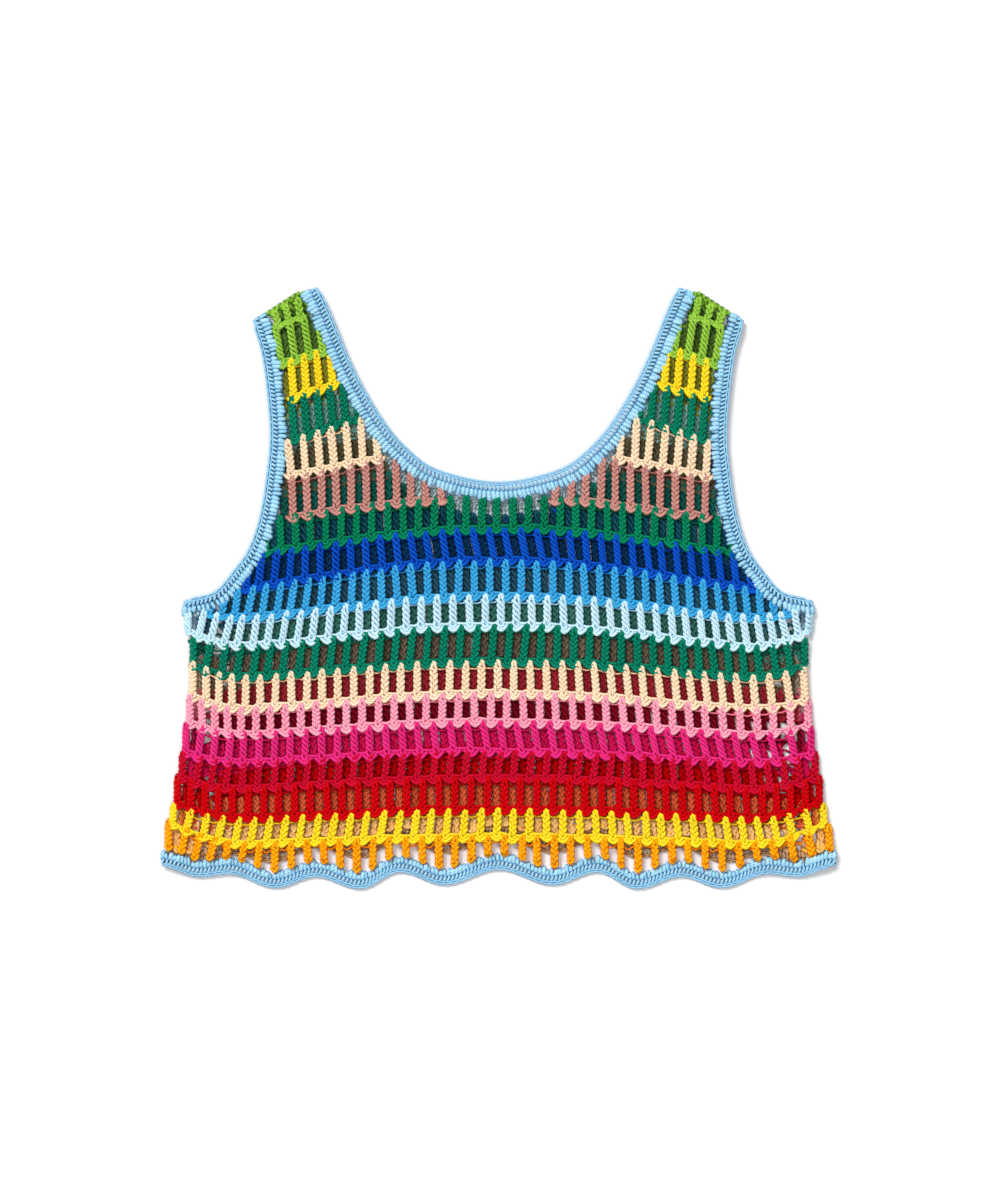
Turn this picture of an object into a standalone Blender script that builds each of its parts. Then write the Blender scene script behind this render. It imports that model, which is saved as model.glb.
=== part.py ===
"""A striped crochet top, laid flat on a table with its front up.

A front and a back panel, each with its two shoulder straps, lie on each other. A border is worked
round the neckline, round each armhole and round the hem. The borders run over the shoulders and
round the sides on to the back, so each is one closed ring.

X runs across the top, Y runs up it towards the shoulders, and Z is up from the table. Sizes are in
millimetres, and heights are measured up the garment from the lowest point of its hem.
"""

import math

import bmesh
import bpy
from mathutils import Vector
from mathutils.geometry import delaunay_2d_cdt

MM = 0.001
COLLECTION = "crochet_top"

# Driving dimensions
LENGTH = 422.2  # from the lowest point of the hem to the top of the shoulders
WALL = 3.0  # a layer of stitches
STITCH_WALL = 2.3  # the open part of a row, between two bands of stitch feet
GAP = 0.3  # between pieces, and between the two layers
NECK_BORDER = 12.8
ARMHOLE_BORDER = 11.0
HEM_BORDER = 12.0
FOLD_RADIUS = WALL + GAP / 2
FOLD_STEPS = 5
BORDER_STEP = 8.0  # between two cross-sections of a border
ROW_STEP = 20.0  # between two points of a row's line
EDGE_CLEAR = 1.6  # between a row's line and the edge of its panel

# Half of each edge, from knot to knot: distance from the middle, height
NECK_SHOULDER = (124.8, 420.0)
NECK_EDGE = (
    (0.0, 285.1),
    (41.0, 293.3),
    (62.0, 307.3),
    (80.2, 328.3),
    (100.5, 363.3),
    (117.5, 404.0),
    NECK_SHOULDER,
)
BACK_NECK_EDGE = (
    (0.0, 271.0),
    (44.0, 280.0),
    (67.0, 298.0),
    (84.0, 322.0),
    (102.0, 359.0),
    (118.0, 402.0),
    NECK_SHOULDER,
)
SHOULDER_SLOPE = Vector((0.887, -0.461))  # from the neck towards the armhole
STRAP_WIDTH = 53.2
UNDERARM = (217.7, 203.3)
ARMHOLE_EDGE = (
    (164.9, 370.3),
    (160.0, 321.3),
    (162.8, 286.3),
    (167.7, 258.3),
    (175.4, 237.3),
    (185.2, 223.3),
    (198.5, 208.4),
    UNDERARM,
)
SIDE_EDGE = ((220.8, 202.3), (216.7, 157.0), (221.0, 110.0), (229.0, 60.0), (236.3, 24.0))
HEM_CORNER = (233.4, 15.0)

# The hem's scallops, each crest and hollow of the free edge: distance from the middle, height
HEM_SCALLOPS = (
    (0.0, 13.3),
    (38.0, 2.8),
    (69.0, 11.6),
    (97.0, 0.0),
    (128.0, 8.4),
    (156.0, 0.7),
    (189.0, 10.5),
    (209.0, 8.4),
    HEM_CORNER,
)
HEM_STEPS = 34
BACK_RISE = 22.0  # how far the back's hem and rows lie above the front's in the middle
DROP_HEIGHT = 25.0  # below this the front has no back under it, and comes down to the table
DROP_FALL = 10.0  # how much lower that line lies at the sides
DROP_RUN = 10.0  # the height over which the front comes down

# Rows of tall stitches, from the shoulders down. foot is the height of a row's lower edge in the
# middle, dip how far that edge has sunk at ROW_LOW, and turn how far it rises again at the side.
ROW_COLUMNS = ("name", "foot", "dip", "turn", "colour")
ROWS = (
    ("light_green_upper", 427.7, 42.7, 0.0, (0.16, 0.42, 0.04)),
    ("light_green_lower", 396.2, 39.9, 0.0, (0.16, 0.42, 0.04)),
    ("yellow_upper", 368.2, 37.1, 0.0, (0.86, 0.71, 0.01)),
    ("dark_green", 341.6, 40.6, 0.0, (0.00, 0.19, 0.09)),
    ("cream_upper", 304.5, 25.2, 0.0, (0.85, 0.67, 0.45)),
    ("dusty_rose", 270.0, 17.9, 0.0, (0.47, 0.20, 0.17)),
    ("emerald", 248.5, 18.2, 0.0, (0.00, 0.26, 0.08)),
    ("royal_blue", 226.1, 18.9, 0.0, (0.01, 0.06, 0.47)),
    ("sky_blue", 201.3, 15.4, 12.0, (0.05, 0.33, 0.68)),
    ("pale_aqua", 180.3, 14.7, 12.0, (0.52, 0.77, 0.87)),
    ("green", 155.4, 10.9, 12.0, (0.01, 0.22, 0.13)),
    ("cream", 133.0, 10.9, 10.0, (0.90, 0.72, 0.46)),
    ("pink", 112.7, 8.4, 8.0, (0.86, 0.35, 0.44)),
    ("magenta", 92.4, 8.0, 8.0, (0.75, 0.03, 0.27)),
    ("crimson", 74.2, 7.4, 7.0, (0.55, 0.01, 0.04)),
    ("red", 51.8, 6.0, 8.0, (0.61, 0.00, 0.01)),
    ("yellow", 32.9, 4.9, 10.5, (0.93, 0.70, 0.03)),
    ("orange", None, None, None, (0.94, 0.33, 0.00)),
)
ROW_LOW = 178.0
TURN_START = 169.0
SIDE_HALF = 219.0

# The band of stitch feet along a row's lower edge: height above that edge, thickness of the wall
ROW_BAND = ((0.0, STITCH_WALL), (1.3, 3.4), (5.2, STITCH_WALL))

# A border's cross-section from its free edge: share of the width, height on the front, on the back
BORDER_PROFILE = (
    (0.00, 0.0, 0.0),
    (0.00, 1.7, 1.7),
    (0.13, 3.6, WALL),
    (0.30, 2.7, WALL),
    (0.72, 3.4, WALL),
    (1.00, 2.6, WALL),
    (1.00, 0.0, 0.0),
)
FRONT_BASE = WALL + GAP  # underside of the front, where it lies on the back
BORDER_COLOUR = (0.33, 0.58, 0.86)
FEEL = 0.85  # roughness of cotton yarn


# ---------------------------------------------------------------- curves in the plane of the cloth


def resample(points, count):
    """count + 1 points, evenly spaced along a polyline."""
    reach = [0.0]
    for a, b in zip(points, points[1:]):
        reach.append(reach[-1] + (b - a).length)
    found = []
    segment = 0
    for step in range(count + 1):
        wanted = reach[-1] * step / count
        while segment < len(points) - 2 and reach[segment + 1] < wanted:
            segment += 1
        share = (wanted - reach[segment]) / (reach[segment + 1] - reach[segment])
        found.append(points[segment].lerp(points[segment + 1], share))
    return found


def smooth_path(knots, spacing, before=None):
    """A Catmull-Rom curve through the knots, as evenly spaced points. before leads into it."""
    knots = [Vector(knot) for knot in knots]
    first = Vector(before) if before else 2 * knots[0] - knots[1]
    framed = [first, *knots, 2 * knots[-1] - knots[-2]]
    fine = 16
    dense = []
    for a, b, c, d in zip(framed, framed[1:], framed[2:], framed[3:]):
        for step in range(fine):
            t = step / fine
            curve = 2 * b + (c - a) * t + (2 * a - 5 * b + 4 * c - d) * t**2
            dense.append((curve + (3 * b - a - 3 * c + d) * t**3) / 2)
    dense.append(knots[-1])
    length = sum((b - a).length for a, b in zip(dense, dense[1:]))
    return resample(dense, max(1, round(length / spacing)))


def smoothstep(value):
    value = min(1.0, max(0.0, value))
    return value * value * (3 - 2 * value)


def interpolate(table, x):
    """The table's second column at x, with a level tangent at each row."""
    for (x0, y0), (x1, y1) in zip(table, table[1:]):
        if x <= x1:
            return y0 + (y1 - y0) * (1 - math.cos(math.pi * (x - x0) / (x1 - x0))) / 2
    return table[-1][1]


def hem_height(x):
    return interpolate(HEM_SCALLOPS, abs(x))


def front_rise(x):
    return 0.0


def back_rise(x):
    """How far the back's rows and hem lie above the front's, which they meet at the sides."""
    return BACK_RISE * (1 - min(1.0, abs(x) / HEM_CORNER[0]) ** 4)


def drop_line(x):
    """Where the front's underside leaves the back and starts down to the table."""
    return DROP_HEIGHT - DROP_FALL * abs(x) / HEM_CORNER[0]


def drop_middle(x):
    return drop_line(x) - DROP_RUN / 2


def front_base(x, height):
    """Height of the front's underside above the table."""
    return FRONT_BASE * (1 - smoothstep((drop_line(x) - height) / DROP_RUN))


def back_base(x, height):
    return WALL


def row_foot(row, x):
    """The lower edge of a row of stitches at distance x from the middle."""
    far = abs(x)
    share = (far / ROW_LOW) ** 2
    turned = max(0.0, far - TURN_START) / (SIDE_HALF - TURN_START)
    return row["foot"] - row["dip"] * share * (1.5 - share / 2) + row["turn"] * turned**2


# ---------------------------------------------------------------- the edges, each from its points


def along(points, panel_side, start=None, end=None):
    """Each point of an edge with the direction from it into the panel."""
    last = len(points) - 1
    inward = []
    for i in range(last + 1):
        ahead = points[min(i + 1, last)] - points[max(i - 1, 0)]
        inward.append((panel_side * Vector((-ahead.y, ahead.x))).normalized())
    for at_end, beside, fixed in ((0, 1, start), (last, last - 1, end)):
        if fixed:
            inward[at_end] = fixed
            inward[beside] = (inward[beside] + fixed).normalized()
    return list(zip(points, inward))


def neck_run(knots):
    lead = (-knots[1][0], knots[1][1])
    points = smooth_path(knots, BORDER_STEP, before=lead)
    return along(points, -1, start=Vector((0, -1)), end=SHOULDER_SLOPE)


def armhole_run():
    """From the shoulder down to the underarm."""
    shoulder = Vector(NECK_SHOULDER) + SHOULDER_SLOPE * STRAP_WIDTH
    points = smooth_path((shoulder, *ARMHOLE_EDGE), BORDER_STEP)
    return along(points, -1, start=-SHOULDER_SLOPE, end=Vector((0, -1)))


def hem_run(rise):
    """From the middle to the side, with straight-up sections so that the scallops keep their shape."""
    run = []
    for step in range(HEM_STEPS + 1):
        x = HEM_CORNER[0] * step / HEM_STEPS
        run.append((Vector((x, hem_height(x) + rise(x))), Vector((0, 1))))
    return run


def inner_edge(run, width):
    return [point + inward * width for point, inward in run]


# ---------------------------------------------------------------- borders


def place(plan, z):
    return Vector((plan.x, plan.y - LENGTH / 2, z)) * MM


def flat_section(point, inward, width, on_front):
    """A border's cross-section where it lies on the front or on the back."""
    section = []
    for share, front_height, back_height in BORDER_PROFILE:
        plan = point + inward * (width * share)
        if on_front:
            z = front_base(plan.x, plan.y) + front_height
        else:
            z = WALL - back_height
        section.append(place(plan, z))
    return section


def fold_sections(point, inward, forward, width):
    """Cross-sections of a border as it turns over a fold, from the front to the back."""
    sections = []
    for step in range(1, FOLD_STEPS):
        turned = step / FOLD_STEPS
        angle = math.pi * turned
        section = []
        for share, front_height, back_height in BORDER_PROFILE:
            reach = GAP / 2 + front_height + (back_height - front_height) * turned
            plan = point + inward * (width * share) + forward * (reach * math.sin(angle))
            section.append(place(plan, WALL + GAP / 2 + reach * math.cos(angle)))
        sections.append(section)
    return sections


def border_ring(front_run, back_run, width):
    """The sections of a whole ring: along the front, over a fold, back along the back, over a fold."""
    sections = [flat_section(*spot, width, True) for spot in front_run]
    sections += fold_sections(*fold_at(front_run), width)
    sections += [flat_section(*spot, width, False) for spot in reversed(back_run)]
    sections += reversed(fold_sections(*fold_at(front_run[::-1]), width))
    return sections


def fold_at(run):
    """The last point of a run, its inward direction, and the direction in which the run leaves it."""
    (before, _), (point, inward) = run[-2:]
    forward = Vector((-inward.y, inward.x))
    if forward.dot(point - before) < 0:
        forward = -forward
    return point, inward, forward


def mirrored(run):
    return [(Vector((-p.x, p.y)), Vector((-w.x, w.y))) for p, w in run]


def whole(run):
    """A run from the middle outwards, made a run from side to side."""
    return mirrored(run[:0:-1]) + run


def make_border(name, sections):
    mesh = bpy.data.meshes.new(name)
    shape = bmesh.new()
    rings = [[shape.verts.new(point) for point in section] for section in sections]
    for ring, following in zip(rings, rings[1:] + rings[:1]):
        for i, corner in enumerate(ring):
            beside = (i + 1) % len(ring)
            shape.faces.new((corner, following[i], following[beside], ring[beside]))
    bmesh.ops.recalc_face_normals(shape, faces=shape.faces)
    shape.to_mesh(mesh)
    shape.free()
    add_object(name, mesh, [yarn(name, BORDER_COLOUR)])


# ---------------------------------------------------------------- panels


def panel_outline(neck, armhole, hem):
    """Half of a panel's edge: down the neck side, round the outside and back to the middle."""
    neck_side = inner_edge(neck, NECK_BORDER + GAP)
    arm_side = inner_edge(armhole, ARMHOLE_BORDER + GAP)
    hem_side = inner_edge(hem, HEM_BORDER + GAP)
    lift = Vector((-SHOULDER_SLOPE.y, SHOULDER_SLOPE.x)) * FOLD_RADIUS
    side_top = Vector((SIDE_EDGE[0][0], arm_side[-1].y))
    side_foot = Vector((HEM_CORNER[0] + FOLD_RADIUS, hem_side[-1].y))
    side = smooth_path((side_top, *SIDE_EDGE[1:-1], side_foot), BORDER_STEP * 2)
    shoulder = [neck_side[-1] + lift, arm_side[0] + lift]
    folds = (shoulder, side)
    return neck_side + shoulder + arm_side + side + hem_side[::-1], folds


def is_inside(point, outline):
    inside = False
    for a, b in zip(outline, outline[1:] + outline[:1]):
        if (a.y > point.y) != (b.y > point.y):
            if point.x < a.x + (b.x - a.x) * (point.y - a.y) / (b.y - a.y):
                inside = not inside
    return inside


def distance(point, edge):
    """From a point to a polyline."""
    nearest = math.inf
    for a, b in zip(edge, edge[1:]):
        span = b - a
        share = max(0.0, min(1.0, (point - a).dot(span) / max(span.length_squared, 1e-9)))
        nearest = min(nearest, (point - a - span * share).length)
    return nearest


def clipped(line, outline):
    """The stretches of a level line, a function of x, that lie in an outline and clear of its edge."""
    stretches = [[]]
    for x in range(int(HEM_CORNER[0]) + 1):
        point = Vector((x, line(x)))
        if is_inside(point + Vector((1e-3, 0)), outline) and distance(point, outline) >= EDGE_CLEAR:
            stretches[-1].append(point)
        elif stretches[-1]:
            stretches.append([])
    return [resample(s, math.ceil(len(s) / ROW_STEP)) for s in stretches if len(s) > 2]


def inset(edge, depth):
    """A line beside a fold, at a depth inside the panel, stopping short of the fold's ends."""
    line = []
    for a, b in zip(edge, edge[1:]):
        span = (b - a).normalized()
        line.append((a + b) / 2 + Vector((span.y, -span.x)) * depth)
    start = (edge[1] - edge[0]).normalized()
    finish = (edge[-1] - edge[-2]).normalized()
    first = edge[0] + start * EDGE_CLEAR + Vector((start.y, -start.x)) * depth
    last = edge[-1] - finish * EDGE_CLEAR + Vector((finish.y, -finish.x)) * depth
    return [first, *line, last]


def wall_at(point, rows, bands, folds, rise):
    """Thickness of a panel's wall, which thins round a fold and thickens along a band of feet."""
    thick = STITCH_WALL if bands else WALL
    for row in rows if bands else ():
        above = point.y - row_foot(row, point.x) - rise(point.x)
        for (low, thin), (high, thin_above) in zip(ROW_BAND, ROW_BAND[1:]):
            if low - 1e-3 <= above <= high + 1e-3:
                thick = thin + (thin_above - thin) * (above - low) / (high - low)
    near = min(distance(point, fold) for fold in folds)
    rounded = math.sqrt(1 - (1 - min(1.0, near / WALL)) ** 2)
    return thick * max(0.3, rounded)


def row_at(point, rows, rise):
    """The number of the row that a point of a panel belongs to."""
    return sum(point.y < row_foot(row, point.x) + rise(point.x) for row in rows)


def make_panel(name, outline, folds, base, bands, rise, creases, outwards):
    """Half a panel as a flat sheet, thickened to its outer side and mirrored."""
    rows = [dict(zip(ROW_COLUMNS, row)) for row in ROWS]
    footed = [row for row in rows if row["foot"]]
    lines = [inset(fold, depth) for fold in folds for depth in (1.0, WALL)]
    for line in creases:
        lines += clipped(line, outline)
    for row in footed:
        for offset, _ in ROW_BAND if bands else ROW_BAND[:1]:
            lines += clipped(lambda x: row_foot(row, x) + rise(x) + offset, outline)
    points = list(outline)
    edges = []
    for line in lines:
        first = len(points)
        points += line
        edges += [(i, i + 1) for i in range(first, len(points) - 1)]
    corners, _, faces, *_ = delaunay_2d_cdt(points, edges, [tuple(range(len(outline)))], 1, 1e-5)

    shape = bmesh.new()
    inner = [shape.verts.new(place(corner, base(corner.x, corner.y))) for corner in corners]
    outer = [shape.verts.new(vert.co) for vert in inner]
    for corner, vert in zip(corners, outer):
        vert.co.z += outwards * wall_at(corner, footed, bands, folds, rise) * MM
    for face in faces:
        middle = sum((corners[i] for i in face), Vector((0, 0))) / len(face)
        for layer in (inner, outer):
            shape.faces.new([layer[i] for i in face]).material_index = row_at(middle, footed, rise)
    rim = [edge for edge in shape.edges if edge.is_boundary]
    bmesh.ops.bridge_loops(shape, edges=rim)
    middle_wall = [face for face in shape.faces if all(abs(v.co.x) < 1e-7 for v in face.verts)]
    bmesh.ops.delete(shape, geom=middle_wall, context="FACES")
    bmesh.ops.recalc_face_normals(shape, faces=shape.faces)
    mesh = bpy.data.meshes.new(name)
    shape.to_mesh(mesh)
    shape.free()
    panel = add_object(name, mesh, [yarn(f"{name}_{row['name']}", row["colour"]) for row in rows])
    mirror = panel.modifiers.new("other_half", "MIRROR")
    mirror.merge_threshold = 1e-5


# ---------------------------------------------------------------- objects


def yarn(name, colour):
    material = bpy.data.materials.new(name)
    material.use_nodes = True
    shader = material.node_tree.nodes["Principled BSDF"]
    shader.inputs["Base Color"].default_value = (*colour, 1)
    shader.inputs["Roughness"].default_value = FEEL
    shader.inputs["Metallic"].default_value = 0
    material.diffuse_color = (*colour, 1)
    return material


def add_object(name, mesh, materials):
    made = bpy.data.objects.new(name, mesh)
    bpy.data.collections[COLLECTION].objects.link(made)
    for material in materials:
        mesh.materials.append(material)
    return made


def clear_scene():
    for old in list(bpy.data.objects):
        bpy.data.objects.remove(old, do_unlink=True)
    parts = bpy.data.collections.new(COLLECTION)
    bpy.context.scene.collection.children.link(parts)


def make_top():
    neck = neck_run(NECK_EDGE)
    back_neck = neck_run(BACK_NECK_EDGE)
    armhole = armhole_run()
    hem = hem_run(front_rise)
    back_hem = hem_run(back_rise)

    make_border("neck_border", border_ring(whole(neck), whole(back_neck), NECK_BORDER))
    make_border("hem_border", border_ring(whole(hem), whole(back_hem), HEM_BORDER))
    for side, run in (("right", armhole), ("left", mirrored(armhole))):
        make_border(f"armhole_border_{side}", border_ring(run, run, ARMHOLE_BORDER))

    outline, folds = panel_outline(neck, armhole, hem)
    creases = (drop_line, drop_middle)
    make_panel("front_panel", outline, folds, front_base, True, front_rise, creases, 1)
    outline, folds = panel_outline(back_neck, armhole, back_hem)
    make_panel("back_panel", outline, folds, back_base, False, back_rise, (), -1)


clear_scene()
make_top()
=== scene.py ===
"""The looks of a striped crochet top that lies flat, front up.

Every stitch is real yarn: strands that cross, loop and pull through each other. Tall stitches make the
rows of the front and the back, and a narrow edging runs round the neck, armholes and hem.

Sizes inside this file are in millimetres on the plane of the cloth: x runs across the top, h runs up
it from the lowest point of the hem, and z is the height above the table. The settings that a user
changes are Blender properties, in Blender's own units.
"""

import math

import bpy
import numpy as np
from bpy.props import FloatProperty, FloatVectorProperty, IntProperty, PointerProperty
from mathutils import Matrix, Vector


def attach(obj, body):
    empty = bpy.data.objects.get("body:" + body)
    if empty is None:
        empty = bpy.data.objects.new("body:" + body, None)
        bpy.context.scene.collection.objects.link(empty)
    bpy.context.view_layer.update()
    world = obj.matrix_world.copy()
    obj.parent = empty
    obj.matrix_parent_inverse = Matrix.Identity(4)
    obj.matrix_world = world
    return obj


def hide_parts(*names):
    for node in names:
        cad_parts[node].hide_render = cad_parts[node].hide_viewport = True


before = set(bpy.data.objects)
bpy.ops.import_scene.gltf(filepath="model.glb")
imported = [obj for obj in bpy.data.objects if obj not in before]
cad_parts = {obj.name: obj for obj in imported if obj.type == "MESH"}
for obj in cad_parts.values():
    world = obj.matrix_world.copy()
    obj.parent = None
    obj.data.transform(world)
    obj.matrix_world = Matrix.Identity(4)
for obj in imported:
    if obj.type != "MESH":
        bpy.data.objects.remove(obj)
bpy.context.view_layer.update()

bl_info = {
    "name": "Striped Crochet Top",
    "version": (1, 0, 0),
    "blender": (4, 5, 0),
    "location": "3D View > Sidebar > Crochet Top",
    "description": "Works a striped crochet top in yarn, stitch by stitch, and sets up a studio for it",
    "category": "Object",
}

BODY = "root"
MM = 0.001


# ---------------------------------------------------------------- the cut, as in the solids

LENGTH = 422.2
NECK_BORDER = 12.8
ARMHOLE_BORDER = 11.0
HEM_BORDER = 12.0
HEM_TUCK = 3.0  # how far the last row's feet reach in behind the hem's border
TUCK = 3.0  # how far the rows are cut in under the borders
BACK_WALL = 3.0
GAP = 0.3
FRONT_BASE = BACK_WALL + GAP
FOLD_MIDDLE = BACK_WALL + GAP / 2
FOLD_RADIUS = FOLD_MIDDLE
FRONT_MIDDLE, BACK_MIDDLE = 1.75, 1.5  # of a layer of stitches, above its underside
BACK_DEPTH = 0.7  # how far the back's strands go in and out, as a share of the front's
PATH_STEP = 3.0
GRID_STEP = 2.0
GRID_WIDTH, GRID_LOW, GRID_HIGH = 250, -12, 444  # the part of the plan that a panel's grids cover
CUT_STEP, CUT_WIDTH, CUT_HIGH = 2.0, 240, 430  # the spots at which a row's cut is measured

NECK_SHOULDER = (124.8, 420.0)
NECK_EDGE = (
    (0.0, 285.1),
    (41.0, 293.3),
    (62.0, 307.3),
    (80.2, 328.3),
    (100.5, 363.3),
    (117.5, 404.0),
    NECK_SHOULDER,
)
BACK_NECK_EDGE = (
    (0.0, 271.0),
    (44.0, 280.0),
    (67.0, 298.0),
    (84.0, 322.0),
    (102.0, 359.0),
    (118.0, 402.0),
    NECK_SHOULDER,
)
SHOULDER_SLOPE = np.array((0.887, -0.461))
STRAP_WIDTH = 53.2
SHOULDER_CHAIN = ((138.8, 416.8), (161.2, 402.2))
UNDERARM = (217.7, 203.3)
ARMHOLE_EDGE = (
    (164.9, 370.3),
    (160.0, 321.3),
    (162.8, 286.3),
    (167.7, 258.3),
    (175.4, 237.3),
    (185.2, 223.3),
    (198.5, 208.4),
    UNDERARM,
)
SIDE_EDGE = ((220.8, 202.3), (216.7, 157.0), (221.0, 110.0), (229.0, 60.0), (236.3, 24.0))
HEM_CORNER = (233.4, 15.0)
HEM_SCALLOPS = (
    (0.0, 13.3),
    (38.0, 2.8),
    (69.0, 11.6),
    (97.0, 0.0),
    (128.0, 8.4),
    (156.0, 0.7),
    (189.0, 10.5),
    (209.0, 8.4),
    HEM_CORNER,
)
BACK_RISE = 22.0
DROP_HEIGHT = 25.0
DROP_FALL = 10.0
DROP_RUN = 10.0
ROW_LOW = 178.0
TURN_START = 169.0
SIDE_HALF = 219.0

# ---------------------------------------------------------------- rows of tall stitches

# foot, dip and turn give the line of a row's feet as in the solids. lap is how far the tips reach up
# over the feet of the row above. start is where a stitch near the middle stands, and pitch the way to
# the next one there. Twenty stitches out, they stand drift further right and draw nearer the middle.
# make is how the strands of a stitch go round each other.
FAR_COLUMN, SPARE_COLUMNS = 20, 2  # columns on each side of the middle, and more for good measure
ROW_FIELDS = ("name", "yarn", "foot", "dip", "turn", "lap", "start", "pitch", "drift", "draw", "make")
ROWS = [
    dict(zip(ROW_FIELDS, row))
    for row in (
        ("light_green_upper", "light_green", 427.7, 42.7, 0.0, 0.0, 0.0, 7.7, 0.0, 0.0, "braid"),
        ("light_green_lower", "light_green", 396.2, 39.9, 0.0, 4.0, 0.0, 9.8, 0.0, 0.0, "twist"),
        ("yellow_upper", "yellow", 368.2, 37.1, 0.0, 6.0, 0.0, 9.2, 0.0, 0.0, "braid"),
        ("dark_green", "dark_green", 341.6, 40.6, 0.0, 5.0, 0.0, 8.9, 0.0, 0.0, "braid"),
        ("cream_upper", "cream", 304.5, 25.2, 0.0, 5.0, 0.0, 10.0, 0.0, 0.0, "braid"),
        ("dusty_rose", "dusty_rose", 270.0, 17.9, 0.0, 4.5, 0.0, 10.4, 0.0, 0.0, "braid"),
        ("emerald", "emerald", 248.5, 18.2, 0.0, 6.0, -1.0, 11.0, 2.7, 4.3, "braid"),
        ("royal_blue", "royal_blue", 226.1, 18.9, 0.0, 4.5, -4.1, 11.1, -2.2, 13.5, "twist"),
        ("sky_blue", "sky_blue", 201.3, 15.4, 12.0, 4.5, 5.3, 11.0, -1.0, 13.8, "braid"),
        ("pale_aqua", "pale_aqua", 180.3, 14.7, 12.0, 5.2, 1.5, 11.05, -1.0, 9.8, "twist"),
        ("green", "green", 155.4, 10.9, 12.0, 4.8, 7.0, 11.4, -2.7, 12.5, "braid"),
        ("cream", "cream", 133.0, 10.9, 10.0, 4.9, -0.1, 11.35, 1.4, 7.8, "braid"),
        ("pink", "pink", 112.7, 8.4, 8.0, 4.9, -5.3, 11.4, 8.2, 4.1, "braid"),
        ("magenta", "magenta", 92.4, 8.0, 8.0, 5.0, 3.0, 11.75, 5.1, 6.4, "twist"),
        ("crimson", "crimson", 74.2, 7.4, 7.0, 4.5, -0.1, 11.25, -0.2, 3.0, "braid"),
        ("red", "red", 51.8, 6.0, 8.0, 4.5, 3.9, 11.4, 1.3, 5.3, "braid"),
        ("yellow", "yellow", 32.9, 4.9, 10.5, 4.4, -1.2, 11.55, 1.4, 3.2, "braid"),
        ("orange", "orange", None, None, None, 4.9, 4.3, 11.6, 3.6, 0.2, "braid"),
    )
]

ROW_LEAST = 10.0  # a lower strip than this isn't worked
STITCH_LEAST = 6.0  # nor is a shorter stitch
BORDER_LAP = 4.0  # how far a stitch's tip reaches over a border
SIDE_POST = 3.4  # how far from a side's fold the outermost stitch stands
SIDE_PULL = 0.6  # pitches that the outermost stitch moves at most, to lie at the side
SIDE_SPREAD = 3.5  # pitches over which its neighbours follow it
TIP_SHOWN = 1.5  # a tip nearer a border than this lies on it
FOLD_NEAR = 4.0  # unless it is this near a fold
BORDER_RISE = 1.3  # how high it lies there
BORDER_SLOPE = 8.0  # and the length in which it comes down again
BODY_REACH = 1.5  # a stitch whose lower part lies further outside the panel isn't worked
CHAIN_ROOM = 1.2  # how far below a shoulder's chain the tips end

# How far a stitch's foot stands to the right of its tip, at these distances from the middle
LEAN_AT = (-209.0, -139.0, -69.0, 0.0, 71.0, 141.0, 211.0)
LEANS = {
    "royal_blue": (-5.6, -1.4, 3.5, 5.9, 2.1, 3.5, 3.5),
    "sky_blue": (-3.5, -4.2, 2.1, 0.0, 1.4, 2.1, 3.5),
    "pale_aqua": (-6.3, -3.5, 0.0, 0.0, 1.4, 2.8, 5.6),
    "green": (-3.5, -2.8, -2.8, -2.4, -1.0, 2.1, 3.5),
    "cream": (0.0, 0.0, 0.0, 0.0, 2.1, 3.5, 2.8),
    "pink": (0.0, 0.0, 0.0, 0.0, 1.4, 2.8, 0.7),
    "magenta": (-3.5, 0.0, 1.8, 4.5, 5.2, 6.6, 4.9),
    "crimson": (-2.8, -2.1, -2.1, -2.1, -2.1, 4.2, 2.1),
    "red": (0.0, 0.0, 0.0, 0.0, 0.4, 1.0, 1.0),
    "yellow": (-4.2, -3.5, -3.5, -1.4, 1.4, 2.8, 4.5),
    "orange": (-5.6, 0.7, 0.0, 0.0, 0.7, 0.0, 4.2),
}

# Rows that lie on the two straps: distance of the stitch nearest the armhole, number of stitches, and
# how far their feet stand nearer the middle than their tips
STRAPS = {
    "light_green_upper": (156.3, 3, 3.2),
    "light_green_lower": (156.5, 4, 5.2),
    "yellow_upper": (145.3, 4, 2.6),
    "dark_green": (145.0, 6, 3.0),
    "cream_upper": (147.0, 8, 2.6),
    "dusty_rose": (144.8, 11, 0.8),
}

# Painted shade: the colour given to each back row's inner side, as it looks in the shade and the coloured
# light of the front's yarns
INNER_SHADE_COLOURS = {
    "light_green_lower": "40602E",
    "yellow_upper": "4A7030",
    "dark_green": "8A8A2C",
    "cream_upper": "68A298",
    "dusty_rose": "50523A",
    "emerald": "145850",
    "royal_blue": "18525E",
    "sky_blue": "0A2A50",
    "pale_aqua": "104A60",
    "green": "386E62",
    "cream": "625444",
    "pink": "96141E",
    "magenta": "740812",
    "crimson": "CE1656",
    "red": "C00408",
    "yellow": "CC4C34",
    "orange": "E6B26C",
}
INNER_LIGHT = {"yellow": 1.2, "orange": 1.5}  # brighter where light comes in under the hem

UPRIGHT = (0.0,) * len(LEAN_AT)
MIDDLE_SHARE = 0.55  # of a stitch's length lies above the place that its column is set out at
TIP_WEIGHT, FOOT_WEIGHT = 0.45, 0.55  # of its ends, at that place


# ---------------------------------------------------------------- curves on the plane of the cloth


def between(a, b, c, d, t):
    """Points of a Catmull-Rom curve from b to c, where a and d are the knots beside them."""
    return (2 * b + (c - a) * t + (2 * a - 5 * b + 4 * c - d) * t**2 + (3 * b - a - 3 * c + d) * t**3) / 2


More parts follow.
